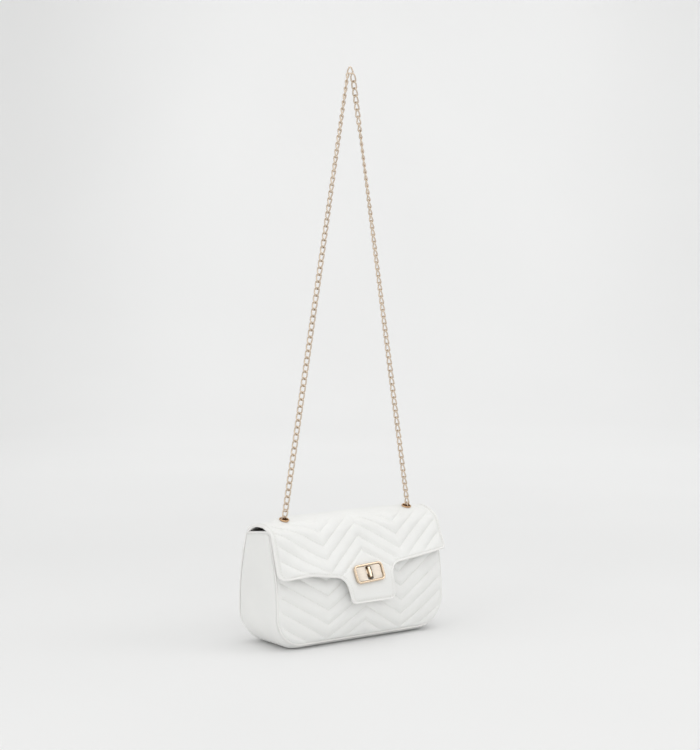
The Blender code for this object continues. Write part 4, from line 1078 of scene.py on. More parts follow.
def lining_bag():
    """The loose cloth lining: a soft box that hangs inside, open at the mouth."""
    bottom = BASE_CROWN + LINING_BOTTOM_GAP
    waves = LINING_WAVES_PER_METRE
    work = bmesh.new()
    rings = []
    for level in range(LINING_LEVELS + 1):
        share = level / LINING_LEVELS
        z = bottom + (MOUTH_HEIGHT - bottom) * share
        low = max(BODY_CORNER - (z - BASE_CROWN), 0.0)
        bend = sqrt(max(BODY_CORNER ** 2 - low ** 2, 0.0))
        half_x = BODY_WIDTH / 2 - BODY_CORNER + bend - LINING_SIDE_GAP
        half_y = half_depth(z) - LINING_FACE_GAP
        outline = rectangle(2 * half_x, 2 * half_y, LINING_CORNER, steps=4)
        walk = Measured(divided(outline, LINING_CORNER, closed=True), closed=True)
        ring = []
        for index in range(LINING_STEPS):
            spot = walk.at(walk.length * index / LINING_STEPS)[0]
            wave = noise.noise(Vector((spot.x * waves[0], spot.y * waves[1], z * waves[2])))
            slack = LINING_SLACK * (1 + wave) * smooth((MOUTH_HEIGHT - z) / LINING_SLACK_FADE)
            inwards = Vector((spot.x * LINING_SIDE_SLACK_SHARE, spot.y)).normalized() * slack
            near_end = smooth((abs(spot.x) - half_x + LINING_CORNER) / LINING_CORNER)
            near_top = smooth((share - LINING_RISE_FROM_SHARE) / (1 - LINING_RISE_FROM_SHARE))
            rise = mouth_rise(spot.y) * near_end * near_top
            ring.append(work.verts.new((spot.x - inwards.x, spot.y - inwards.y, z + rise)))
        rings.append(ring)
    for step in range(1, LINING_BOTTOM_RINGS):
        inner = step / LINING_BOTTOM_RINGS
        taper = 1 - LINING_BOTTOM_TAPER * inner
        rings.insert(0, [work.verts.new((v.co.x * taper, v.co.y * (1 - inner), v.co.z))
                         for v in rings[step - 1]])
    for ring, after in zip(rings, rings[1:]):
        for index in range(LINING_STEPS):
            other = (index + 1) % LINING_STEPS
            work.faces.new((ring[index], ring[other], after[other], after[index]))
    work.faces.new(rings[0][::-1])
    middle = Vector((0.0, 0.0, LINING_MIDDLE_HEIGHT))
    return skin(work, "lining_cloth", "lining", LINING_THICKNESS, lambda centre: -(centre - middle))


def slip_pocket_cloth():
    """The slip pocket on the lining's back wall, with a hemmed top that stands slightly open."""
    low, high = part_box("slip_pocket")

    def place(column, row):
        x = low.x + (high.x - low.x) * column / POCKET_COLUMNS
        z = low.z + (high.z - low.z) * row / POCKET_ROWS
        across = 1 - (2 * column / POCKET_COLUMNS - 1) ** 2
        opened = smooth((row / POCKET_ROWS - POCKET_GAPE_FROM_SHARE) / (1 - POCKET_GAPE_FROM_SHARE))
        gape = POCKET_GAPE * opened * across ** POCKET_GAPE_POWER
        hem = POCKET_HEM if row > POCKET_ROWS - POCKET_HEM_ROWS else 0.0
        return (x, half_depth(z) - POCKET_STAND_OFF - gape - hem, z)

    work = draped_grid(POCKET_COLUMNS, POCKET_ROWS, place)
    return skin(work, "slip_pocket_cloth", "lining", POCKET_THICKNESS,
                lambda centre: Vector((0.0, -1.0, 0.0)))


# Shape of the flap

def flap_face(z, amount):
    """Distance of the flap's face from the middle plane where it lies on a panel."""
    step = GAP
    slope = (panel_outside(0.0, z - step, amount) - panel_outside(0.0, z + step, amount)) / (2 * step)
    return panel_outside(0.0, z, amount) + FLAP_CLEARANCE + FLAP_TOTAL * hypot(1.0, slope)


def flap_knots():
    """Knots of the flap's outer profile as (y, z), from the lap on the back over the crown to the tongue."""
    knots = []
    lap_top = MOUTH_HEIGHT - CROWN_RISE * LAP_TOP_SHARE
    for share in BACK_KNOT_SHARES:
        z = BACK_LAP_BOTTOM + (lap_top - BACK_LAP_BOTTOM) * share
        knots.append(Vector((flap_face(z, BACK_BULGE), z)))
    for depth_share, rise_share in CROWN_SHARES:
        knots.append(Vector((depth_share * SHOULDER_DEPTH / 2, MOUTH_HEIGHT + rise_share * CROWN_RISE)))
    for share in FRONT_KNOT_SHARES:
        z = lap_top + (TONGUE_BOTTOM - lap_top) * share
        lift = smooth((STAND_OFF_TOP - z) / (STAND_OFF_TOP - STAND_OFF_BOTTOM))
        knots.append(Vector((-flap_face(z, FRONT_BULGE) - lift * FLAP_STAND_OFF, z)))
    return knots


PROFILE = Measured(smooth_curve(flap_knots()))


def fold_length():
    """Length along the profile at which the flap folds."""
    depth = FOLD_SHARE * SHOULDER_DEPTH / 2
    marks = zip(PROFILE.points, PROFILE.points[1:], PROFILE.marks, PROFILE.marks[1:])
    return next(low + (high - low) * (a.x - depth) / (a.x - b.x) for a, b, low, high in marks
                if a.y > MOUTH_HEIGHT and a.x > depth >= b.x)


FOLD_LENGTH = fold_length()
TIP_RUN = PROFILE.length - FOLD_LENGTH
LAP_RUN = -FOLD_LENGTH


def last_before(low, high, steps, holds):
    """Highest value, by halving, for which a test that holds at the low end still holds."""
    for step in range(steps):
        middle = (low + high) / 2
        if holds(middle):
            low = middle
        else:
            high = middle
    return low


def profile_at(run):
    """Point of the flap's profile at a length in front of the fold, and its outward direction."""
    point = PROFILE.at(run + FOLD_LENGTH)[0]
    behind = PROFILE.at(run + FOLD_LENGTH - PROFILE_REACH)[0]
    ahead = PROFILE.at(run + FOLD_LENGTH + PROFILE_REACH)[0]
    direction = (ahead - behind).normalized()
    return point, Vector((direction.y, -direction.x))


END_SHIFTS = {side: smooth_curve([Vector(row) for row in rows], steps=8)
              for side, rows in ((-1, LEFT_END_SHIFTS), (1, RIGHT_END_SHIFTS))}
END_MARKS = {side: [row.x for row in rows] for side, rows in END_SHIFTS.items()}


def end_shift(x, run):
    """How far forward and up the leather of a flap's end lies from its middle."""
    side = -1 if x < 0 else 1
    weight = smooth((abs(x) - END_BLEND_FROM) / (FLAP_WIDTH / 2 - END_BLEND_FROM))
    if weight == 0.0:
        return 0.0, 0.0
    rows, marks = END_SHIFTS[side], END_MARKS[side]
    index = min(max(bisect_right(marks, run) - 1, 0), len(rows) - 2)
    share = min(max((run - marks[index]) / (marks[index + 1] - marks[index]), 0.0), 1.0)
    row = rows[index].lerp(rows[index + 1], share)
    from_eyelet = hypot(abs(x) - EYELET_SPACING / 2, run - EYELET_RUN)
    hold = smooth((from_eyelet - EYELET_HOLD_RADIUS) / EYELET_HOLD_FADE)
    return row.y * weight * hold, row.z * weight * hold


def eyelet_run():
    """Length in front of the fold at which the eyelets sit."""
    depth = -EYELET_DEPTH_SHARE * SHOULDER_DEPTH / 2
    return last_before(LAP_RUN, 0.0, PROFILE_HALVINGS, lambda run: profile_at(run)[0].x > depth)


EYELET_RUN = eyelet_run()


def left_curl(x, run):
    """How far the flap's left end turns back towards the bag."""
    start, end = LEFT_CURL_RUNS
    share = max(0.0, 1 - (FLAP_WIDTH / 2 + x) / LEFT_CURL_REACH)
    fade = smooth((run - start) / LEFT_CURL_FADE) * smooth((end - run) / LEFT_CURL_FADE)
    return LEFT_CURL * share ** 2 * fade


def flap_point(x, run, depth=0.0):
    """Point of the flap sunk by a depth, and its outward direction."""
    point, outward = profile_at(run)
    forward, up = end_shift(x, run)
    lift = EDGE_LIFT * smooth((run - EDGE_LIFT_FROM) / EDGE_LIFT_RUN)
    lift *= smooth((abs(x) - EDGE_LIFT_FROM) / EDGE_LIFT_SIDE_FADE)
    lift *= smooth((FLAP_WIDTH / 2 - abs(x)) / EDGE_LIFT_END_FADE)
    out = Vector((0.0, outward.x, outward.y))
    place = Vector((x, point.x - forward, point.y + up))
    return place + out * (lift - left_curl(x, run) - depth), out


def run_at(x, level, depth):
    """Length in front of the fold at which the sunk flap passes a height."""
    end_run = TIP_RUN + 2 * FLAP_OVERRUN
    return last_before(0.0, end_run, EDGE_HALVINGS, lambda run: flap_point(x, run, depth)[0].z > level)


def flap_outline():
    """Front view of the flap below its fold as (x, z), anticlockwise from the left end of the fold."""
    left, left_rise, right_rise, right = EDGE_HEIGHTS
    top = MOUTH_HEIGHT + 4 * CROWN_RISE
    return rounded([(right[0], top, 0.0), (left[0], top, 0.0), (*left, LEFT_CORNER),
                    (*left_rise, LEFT_RISE_RADIUS), (*LEFT_NOTCH, NOTCH_RADIUS),
                    (TONGUE_FOOT_LEFT, TONGUE_BOTTOM, TONGUE_CORNER),
                    (TONGUE_FOOT_RIGHT, TONGUE_BOTTOM, TONGUE_CORNER), (*right_rise, NOTCH_RADIUS),
                    (*right, RIGHT_CORNER)], steps=8)


OUTLINE = flap_outline()


def lower_edge_at(x):
    """Height of the flap's lower edge beside its tongue."""
    spots = [(a, b) for a, b in zip(OUTLINE[2:], OUTLINE[3:]) if a.x <= x <= b.x]
    if not spots:
        return EDGE_HEIGHTS[0][1] if x < 0 else EDGE_HEIGHTS[-1][1]
    a, b = spots[0]
    return a.y + (b.y - a.y) * (x - a.x) / max(b.x - a.x, GAP)


def flap_half_width(run):
    """Half the flap's width: full in front, drawn in behind so that the lap stays within the body."""
    return FLAP_WIDTH / 2 - LAP_INSET * smooth((LAP_INSET_FROM - run) / LAP_INSET_FADE)


def quilt_share(x, run, height):
    """Share of the quilting's depth: none on the border, the tongue and behind the fold."""
    fade_in = smooth((run - QUILT_START) / QUILT_START_FADE)
    side = smooth((FLAP_WIDTH / 2 - abs(x) - BORDER_PLAIN_SHARE * BORDER) / BORDER)
    below = smooth((height - lower_edge_at(x) - BORDER_PLAIN_SHARE * BORDER) / BORDER)
    level = flap_level(x, run)
    if abs(x) < PLAIN_HALF_WIDTH and level > LAST_LEVEL - PLAIN_AHEAD:
        plain = smooth((PLAIN_HALF_WIDTH - abs(x)) / BORDER) * smooth((level - LAST_LEVEL) / PLAIN_FADE)
        return fade_in * (1 - plain) * max(below, smooth((LAST_LEVEL - level) / LAST_LEVEL_FADE))
    return fade_in * side * below


def flap_relief(x, run, height):
    """Depth under the profile of the flap's leather at a place."""
    level = flap_level(x, run)
    share = quilt_share(x, run, height)
    groove = sizes().quilt_depth * (1 - puff(level))
    bulge = FLAP_WAVE * noise.noise(Vector((x, run, 0.0)) / FLAP_WAVE_LENGTH)
    from_eyelet = hypot(abs(x) - EYELET_SPACING / 2, run - EYELET_RUN)
    from_edge = min(FLAP_WIDTH / 2 - abs(x), height - lower_edge_at(x) if run > 0 else BORDER)
    sink = PLAIN_SINK + (EDGE_SINK - PLAIN_SINK) * smooth((BORDER - from_edge) / EDGE_SINK_WIDTH)
    sink *= smooth((from_eyelet - EYELET_HOLD_RADIUS) / EYELET_HOLD_FADE)
    return share * (groove - pucker(x, run, level) - bulge) + (1 - share) * sink


def trim_to_outline(piece):
    """Cut away what lies outside the flap's outline."""
    edge = inset(OUTLINE, FLAP_CUT_INSET)
    upright = Matrix.Rotation(pi / 2, 4, "X")
    keep = block("flap outline", [(p.x, p.y) for p in edge], -BODY_DEPTH, BODY_DEPTH, upright)
    cut(piece, keep, "INTERSECT")


def frame_on_flap(x, run):
    """Frame on the flap's profile: X across, Y up the flap, Z out of the leather."""
    point, outward = profile_at(run)
    out = Vector((0.0, outward.x, outward.y))
    across = Vector((1.0, 0.0, 0.0))
    matrix = Matrix((across, out.cross(across), out)).transposed().to_4x4()
    matrix.translation = Vector((x, point.x, point.y))
    return matrix


def lock_matrix():
    """Frame on the flap's face at the lock."""
    run = last_before(0.0, TIP_RUN, PROFILE_HALVINGS,
                      lambda run: profile_at(run)[0].y > LOCK_HEIGHT_ON_FLAP)
    return frame_on_flap(0.0, run) @ Matrix.Rotation(LOCK_TILT, 4, "Z")


LOCK = lock_matrix()


def eyelet_matrix(side):
    """Frame on the flap at one eyelet, or halfway between them where the side is 0."""
    return frame_on_flap(side * EYELET_SPACING / 2, EYELET_RUN)


def lock_opening():
    """Width and height of the opening in the lock's frame."""
    low, high = extent("lock_frame", LOCK)
    return Vector((high.x - low.x - 2 * LOCK_BORDER, high.y - low.y - 2 * LOCK_BORDER))


def open_flap_holes(piece):
    """Cut the lock's slot and the two eyelet holes."""
    slot = rectangle(SLOT_WIDTH + 2 * SLOT_END, lock_opening().y, SLOT_CORNER, steps=4)
    cut(piece, block("slot", [(p.x, p.y) for p in slot], -HOLE_REACH, HOLE_REACH, LOCK))
    radius = EYELET_BORE + EYELET_WALL + GAP
    turns = [2 * pi * step / HOLE_STEPS for step in range(HOLE_STEPS)]
    circle = [(radius * cos(turn), radius * sin(turn)) for turn in turns]
    for side in (-1, 1):
        cut(piece, block("eyelet hole", circle, -HOLE_REACH, HOLE_REACH, eyelet_matrix(side)))


def bend_with_flap(piece):
    """Bake a piece's placement into its mesh; the direction along the fold is worked out but not used."""
    fold, outward = profile_at(0.0)
    along = Vector((0.0, -outward.y, outward.x))
    if along.z > 0:
        along.negate()
    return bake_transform(piece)


def flap_leather():
    """The quilted leather of the whole flap, from the lap on the back to the tongue."""
    knots = chevron_knots(FLAP_CHEVRON)
    places = column_places(knots, FLAP_WIDTH / 2)
    step = sizes().quilt_pitch / ROWS_PER_CHANNEL
    dips = [dip_on(knots, x) for x in places]
    first = floor((LAP_RUN - max(dips)) / step) - 1
    end_run = TIP_RUN + FLAP_OVERRUN
    last = ceil((end_run - min(dips)) / step) + 1
    offset = step * (round(FLAP_PHASE * ROWS_PER_CHANNEL) - FLAP_PHASE * ROWS_PER_CHANNEL)

    def place(column, row):
        x = places[column]
        run = min(max((last - row) * step + offset + dips[column], LAP_RUN), end_run)
        height = flap_point(x, run)[0].z
        drawn_in = flap_half_width(run) / (FLAP_WIDTH / 2)
        return flap_point(x * drawn_in, run, flap_relief(x, run, height))[0]

    return flap_sheet(draped_grid(len(places) - 1, last - first, place), "flap_leather", "leather",
                      LEATHER_THICKNESS)


def flap_sheet(work, name, finish, thickness):
    """Thicken one layer of the flap, open its holes and trim it to the outline."""
    middle = Vector((0.0, 0.0, FLAP_MIDDLE_HEIGHT))
    piece = skin(work, name, finish, thickness, lambda centre: centre - middle)
    open_flap_holes(piece)
    trim_to_outline(piece)
    return piece


def flap_underside():
    """The smooth leather that faces the flap inside."""
    start_run = TIP_RUN + FLAP_OVERRUN

    def place(column, row):
        run = start_run + (LAP_RUN - start_run) * row / FLAP_INSIDE_ROWS
        x = 2 * flap_half_width(run) * (column / FLAP_INSIDE_COLUMNS - 0.5)
        return flap_point(x, run, FLAP_TOTAL - FLAP_INSIDE_THICKNESS)[0]

    return flap_sheet(draped_grid(FLAP_INSIDE_COLUMNS, FLAP_INSIDE_ROWS, place), "flap_inside_leather",
                      "edge", FLAP_INSIDE_THICKNESS)


def flap_border(inwards, depth):
    """Closed path round the whole flap as (point, outward direction, direction along)."""
    inner = inset(OUTLINE, inwards)
    spots = [(p.x, run_at(p.x, p.y, depth)) for p in divided(inner[2:], FLAP_EDGE_SPACING)]
    back_run = LAP_RUN + inwards
    steps = ceil((spots[-1][1] - back_run) / FLAP_EDGE_SPACING)
    sides = [spots[-1][1] + (back_run - spots[-1][1]) * step / steps for step in range(1, steps)]
    right = [(flap_half_width(run) - inwards, run) for run in sides]
    corner = flap_half_width(back_run) - inwards
    steps = ceil(2 * corner / LAP_EDGE_SPACING)
    lap = [(corner - 2 * corner * step / steps, back_run) for step in range(steps + 1)]
    left = [(-x, run) for x, run in reversed(right) if run < spots[0][1]]
    return [flap_point(x, run, depth) for x, run in spots + right + lap + left]


def flap_rolled_edge():
    """The rolled leather edge round the whole flap."""
    roll = sizes().edge_roll
    border = flap_border(roll, FLAP_TOTAL / 2)
    path = [point for point, out in border]

    def across(index):
        forward = tangent(path, index, True)
        out = border[index][1]
        out = (out - forward * out.dot(forward)).normalized()
        return out * (FLAP_TOTAL / 2 - ROLL_INSET), forward.cross(out) * roll

    work = bmesh.new()
    tube_along(work, path, across, EDGE_SIDES, True)
    return piece_from(work, "flap_rolled_edge", "edge", NEVER_SHARP)


# Stitching

def add_stitches(work, path, radius, closed=False):
    """Add one row of stitches along a path of (point, outward direction); each dips in at its ends."""
    walk = Measured([point for point, out in path], closed)
    outs = [out for point, out in path]
    count = max(1, int(walk.length / sizes().stitch_length))
    pitch = walk.length / count
    turns = [2 * pi * corner / STITCH_SIDES for corner in range(STITCH_SIDES)]
    for index in range(count):
        start = index * pitch + pitch * STITCH_START_SHARE
        rings = []
        for share, level, width in STITCH_SHAPE:
            mark = start + share * pitch * STITCH_SHARE
            point, direction = walk.at(mark)
            out = outs[min(max(bisect_right(walk.marks, mark) - 1, 0), len(outs) - 1)]
            spot = point + out * level * radius
            side = direction.cross(out).normalized()
            rings.append([work.verts.new(spot + (side * cos(turn) + out * sin(turn)) * radius * width)
                          for turn in turns])
        for ring, after in zip(rings, rings[1:]):
            for corner in range(STITCH_SIDES):
                other = (corner + 1) % STITCH_SIDES
                work.faces.new((ring[corner], ring[other], after[other], after[corner]))
        work.faces.new(rings[0][::-1])
        work.faces.new(rings[-1])


def stitched_runs(spots, keep):
    """Split a list of spots into runs of neighbours that pass a test."""
    run = []
    for spot in spots:
        if keep(spot):
            run.append(spot)
        elif run:
            yield run
            run = []
    if run:
        yield run


def panel_stitching(name, side, amount):
    """The stitches in the grooves of one panel."""
    pitch = sizes().quilt_pitch
    radius = sizes().thread_width / 2
    sink = sizes().quilt_depth + THREAD_SINK
    out = Vector((0.0, side, 0.0))
    knots = chevron_knots(PANEL_CHEVRON)
    places = column_places(knots, BODY_WIDTH / 2)
    levels = ceil((MOUTH_HEIGHT + max(drop for x, drop in knots)) / pitch) + 1
    work = bmesh.new()
    for level in range(levels + 1):
        spots = [(x, (level - PANEL_PHASE) * pitch - dip_on(knots, x)) for x in places]
        for run in stitched_runs(spots, lambda spot: spot[1] < MOUTH_HEIGHT - PANEL_STITCH_END
                                 and edge_distance(*spot, WELT_RADIUS) > PANEL_STITCH_BORDER_SHARE * BORDER):
            path = [(Vector((x, side * (panel_outside(x, z, amount) - sink), z)), out) for x, z in run]
            if len(path) >= LEAST_STITCHED_POINTS:
                add_stitches(work, path, radius)
    return piece_from(work, name, "thread", NEVER_SHARP)


def flap_stitching():
    """The stitches in the flap's grooves, round its border and along the lap."""
    pitch = sizes().quilt_pitch
    radius = sizes().thread_width / 2
    knots = chevron_knots(FLAP_CHEVRON)
    places = column_places(knots, FLAP_WIDTH / 2)
    work = bmesh.new()
    for level in range(FLAP_STITCH_ROWS):
        spots = []
        for x in places:
            run = min((level - FLAP_PHASE) * pitch + dip_on(knots, x), TIP_RUN)
            spots.append((x, run, flap_point(x, run)[0].z))
        for group in stitched_runs(spots, lambda spot: spot[1] < TIP_RUN - GAP
                                   and quilt_share(*spot) > FLAP_STITCH_LEAST_QUILT):
            path = [flap_point(x, run, flap_relief(x, run, height)) for x, run, height in group]
            if len(path) >= LEAST_STITCHED_POINTS:
                add_stitches(work, path, radius)
    border = flap_border(STITCH_INSET, PLAIN_SINK)
    add_stitches(work, border, radius, closed=True)
    return piece_from(work, "flap_stitching", "thread", NEVER_SHARP)


# Metal pieces

def plate(name, outline, low, high, matrix, finish, round_edge, holes=()):
    """Flat metal plate with holes and rounded edges, in a frame."""
    curve = bpy.data.curves.new(name, "CURVE")
    curve.dimensions = "2D"
    curve.fill_mode = "BOTH"
    curve.extrude = (high - low) / 2 - round_edge
    curve.bevel_depth = round_edge
    curve.bevel_resolution = 3
    curve.offset = -round_edge
    for ring in (outline, *holes):
        spline = curve.splines.new("POLY")
        spline.points.add(len(ring) - 1)
        for slot, point in zip(spline.points, ring):
            slot.co = (point[0], point[1], 0.0, 1.0)
        spline.use_cyclic_u = True
    drawn = bpy.data.objects.new(f"{name} outline", curve)
    bpy.context.scene.collection.objects.link(drawn)
    bpy.context.view_layer.update()
    mesh = bpy.data.meshes.new_from_object(drawn.evaluated_get(bpy.context.evaluated_depsgraph_get()))
    bpy.data.objects.remove(drawn, do_unlink=True)
    mesh.transform(matrix @ Matrix.Translation((0.0, 0.0, (low + high) / 2)))
    work = bmesh.new()
    work.from_mesh(mesh)
    bmesh.ops.remove_doubles(work, verts=work.verts, dist=GAP / 100)
    return piece_from(work, name, finish, PLATE_SHARP)


def merge_into(piece, work):
    """Add more shapes to a piece."""
    work.from_mesh(piece.data)
    bmesh.ops.recalc_face_normals(work, faces=work.faces)
    work.to_mesh(piece.data)
    work.free()
    piece.data.shade_smooth()
    piece.data.set_sharp_from_angle(angle=radians(PLATE_SHARP))
    return piece


def dome_profile(radius, height):
    """Profile of a low dome on a flat base."""
    turns = [pi / 2 * step / DOME_STEPS for step in range(DOME_STEPS + 1)]
    points = [(radius * cos(turn), height * sin(turn)) for turn in turns]
    return [(0.0, 0.0), *points][::-1]


def screw_head(word, level):
    """One slotted screw head under the lock's back plate."""
    low, high = extent(f"lock_screw_{word}", LOCK)
    matrix = LOCK @ Matrix.Translation(((low.x + high.x) / 2, (low.y + high.y) / 2, level))
    radius = (high.y - low.y) / 2
    work = bmesh.new()
    turned(work, [(r, -h) for r, h in dome_profile(radius, radius / 2)], matrix, SMALL_TURN_STEPS)
    screw = piece_from(work, f"screw_head_{word}", "gold", TURNED_SHARP)
    slit = rectangle(radius * SLIT_LENGTH_SHARE, radius * SLIT_WIDTH_SHARE, 0.0)
    turn = Matrix.Rotation(SCREW_TURNS[word], 4, "Z")
    cut(screw, block("slit", [(p.x, p.y) for p in slit], -radius, -radius * SLIT_DEPTH_SHARE, matrix @ turn))
    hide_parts(f"lock_screw_{word}")
    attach(screw, "flap")


def eyelet_ring(side, word):
    """One eyelet: a rolled flange and its barrel."""
    barrel = EYELET_BORE + EYELET_WALL
    rim = barrel + EYELET_FLANGE
    top = GAP + EYELET_FLANGE_THICKNESS
    middle = (EYELET_BORE + rim) / 2
    half = (rim - EYELET_BORE) / 2
    turns = [pi * step / EYELET_ROLL_STEPS for step in range(EYELET_ROLL_STEPS + 1)]
    roll = [(middle + half * cos(turn), GAP + (top - GAP) * sin(turn) ** EYELET_ROLL_POWER)
            for turn in turns]
    profile = [*roll, (EYELET_BORE, EYELET_WASHER_BOTTOM), (barrel, EYELET_WASHER_BOTTOM), (barrel, GAP)]
    work = bmesh.new()
    turned(work, profile, eyelet_matrix(side), EYELET_STEPS)
    return piece_from(work, f"eyelet_ring_{word}", "eyelet", TURNED_SHARP)


def eyelet_back(side, word):
    """The washer under the flap that the barrel is spread over."""
    barrel = EYELET_BORE + EYELET_WALL
    rim = barrel + EYELET_FLANGE - EYELET_WASHER_INSET
    middle = (EYELET_WASHER_TOP + EYELET_WASHER_BOTTOM) / 2
    half = (EYELET_WASHER_TOP - EYELET_WASHER_BOTTOM) / 2
    turns = [pi * (0.5 - step / EYELET_WASHER_STEPS) for step in range(EYELET_WASHER_STEPS + 1)]
    edge = [(rim - half + half * cos(turn), middle + half * sin(turn)) for turn in turns]
    profile = [(barrel + GAP / 2, EYELET_WASHER_TOP), *edge, (barrel + GAP / 2, EYELET_WASHER_BOTTOM)]
    work = bmesh.new()
    turned(work, profile, eyelet_matrix(side), EYELET_STEPS)
    return piece_from(work, f"eyelet_back_{word}", "eyelet", TURNED_SHARP)


def strap_apex():
    """Point over the bag at which the strap is held up."""
    middle = eyelet_matrix(0).translation
    return Vector((STRAP_APEX_SHIFT, middle.y, middle.z + STRAP_DROP))


def strap_route(side):
    """Centre line of one strand: up through its eyelet, then straight to the link at the top."""
    matrix = eyelet_matrix(side)
    start = matrix @ Vector((0.0, 0.0, GAP))
    stub = matrix @ Vector((0.0, 0.0, STRAP_STUB))
    top = strap_apex() + Vector((side * STRAP_APEX_HALF_GAP, 0.0, -STRAP_TOP_RISE))
    knots = [stub, *[stub.lerp(top, share) for share in STRAP_KNOT_SHARES], top]
    return [start, *smooth_curve(knots, steps=12)]


def ring_middle(side):
    """Middle of a D-ring's straight bar, in the loop of its tab."""
    low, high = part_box("d_ring_right")
    wall = high.x - RING_WIRE_RADIUS
    return Vector((side * wall, (low.y + high.y) / 2, low.z + RING_WIRE_RADIUS))


def inner_route(side):
    """Centre line of the chain inside: from the D-ring up to its eyelet."""
    matrix = eyelet_matrix(side)
    top = matrix @ Vector((0.0, 0.0, -GAP))
    bend = matrix @ Vector((0.0, 0.0, -INNER_STUB))
    centre = ring_middle(side)
    pull = (bend - centre).normalized()
    end = centre + pull * (RING_REACH - RING_WIRE_RADIUS)
    return [*smooth_curve([end, end.lerp(bend, 0.5), bend], steps=6), top]


def add_link(work, centre, along, face):
    """Add one curb link: an oval of wire, twisted so that its neighbours lie flat in it."""
    wire = sizes().link_wire / 2
    half_length = sizes().link_pitch / 2 + wire
    half_width = sizes().link_width / 2 - wire
    across = along.cross(face).normalized()
    face = across.cross(along).normalized()
    path = []
    for step in range(LINK_STEPS):
        turn = 2 * pi * step / LINK_STEPS
        reach = copysign(abs(cos(turn)) ** LINK_END_POWER, cos(turn)) * half_length
        width = copysign(abs(sin(turn)) ** LINK_SIDE_POWER, sin(turn)) * half_width
        rise = LINK_TWIST_IN_RADII * wire * sin(2 * turn)
        path.append(centre + along * reach + across * width + face * rise)
    round_tube(work, path, wire, LINK_SIDES, closed=True)


# How the strands turn on their way up: share of the strand, degrees between the links' faces and the view
STRAND_TURNS = {-1: ((0.0, 15.0), (0.25, 5.0), (0.5, 25.0), (0.8, 60.0), (1.0, 80.0)),
                1: ((0.0, -50.0), (0.3, -40.0), (0.6, -60.0), (0.84, -85.0), (0.92, -40.0), (1.0, -15.0))}


def turn_at(side, share):
    """Angle of the links at a share of a strand."""
    rows = STRAND_TURNS[side]
    for (low, start), (high, end) in zip(rows, rows[1:]):
        if share <= high:
            return radians(start + (end - start) * smooth((share - low) / (high - low)))
    return radians(rows[-1][1])


def strand(side, word, carried=()):
    """One strand of the strap, and the links that go on inside to the D-ring; the carried pieces are not
    used.
    """
    inner = inner_route(side)
    outer = strap_route(side)
    last = outer[-1] + (outer[-1] - outer[-2]).normalized() * STRAP_LINK_REACH
    walk = Measured(inner + outer + [last])
    inside = Measured(inner).length
    pitch = sizes().link_pitch
    toward_view = Vector(CAMERA_BACK)
    inner_work, outer_work = bmesh.new(), bmesh.new()
    linked = walk.length - pitch * STRAP_ENDS_PITCH_SHARE
    count = round(linked / pitch)
    spacing = linked / count
    for index in range(count):
        mark = spacing * (index + 0.5)
        centre = walk.at(mark)[0]
        along = (walk.at(mark + pitch / 2)[0] - walk.at(mark - pitch / 2)[0]).normalized()
        share = max((mark - inside) / (walk.length - inside), 0.0)
        face = (toward_view - along * toward_view.dot(along)).normalized()
        face = Matrix.Rotation(turn_at(side, share), 3, along) @ face
        add_link(inner_work if mark < inside else outer_work, centre, along, face)
    chain = piece_from(outer_work, f"strap_links_{word}", "chain", NEVER_SHARP)
    tail = piece_from(inner_work, f"inner_links_{word}", "chain", NEVER_SHARP)
    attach(chain, "bag")
    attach(tail, "bag")
    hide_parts(f"strap_chain_{word}")
    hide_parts(f"inner_chain_{word}")
    tuple(outer[0])
    Measured(outer).length
    [tuple(p) for p in outer]
    return chain


def top_link():
    """The three-cornered link at the top of the strap that joins the two strands."""
    apex = strap_apex()
    low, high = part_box("strap_top_link")
    wire = TOP_LINK_WIRE
    foot, head = low.z + wire, high.z + TOP_LINK_RISE
    half, corner = TOP_LINK_HALF_WIDTH, 2 * wire
    ring = rounded([(apex.x - half, foot, corner), (apex.x + half, foot, corner), (apex.x, head, corner)])
    path = [Vector((p.x, apex.y, p.y)) for p in divided(ring, wire, closed=True)]
    work = bmesh.new()
    round_tube(work, path, wire, WIRE_SIDES, closed=True)
    piece = piece_from(work, "top_link", "chain", NEVER_SHARP)
    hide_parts("strap_top_link")
    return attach(piece, "bag")


def d_ring_wire(side, word):
    """The D-ring, drawn towards its eyelet by the strap's end."""
    centre = ring_middle(side)
    bend = eyelet_matrix(side) @ Vector((0.0, 0.0, -INNER_STUB))
    pull = (bend - centre).normalized()
    half = RING_WIDTH / 2
    loop = rounded([(-half, 0.0, RING_FOOT_CORNER), (half, 0.0, RING_FOOT_CORNER),
                    (half, RING_REACH, RING_HEAD_CORNER), (-half, RING_REACH, RING_HEAD_CORNER)])
    path = [centre + Vector((0.0, p.x, 0.0)) + pull * p.y for p in divided(loop, RING_SPACING, closed=True)]
    work = bmesh.new()
    round_tube(work, path, RING_WIRE_RADIUS, WIRE_SIDES, closed=True)
    ring = piece_from(work, f"d_ring_wire_{word}", "gold", NEVER_SHARP)
    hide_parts(f"d_ring_{word}")
    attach(ring, "bag")


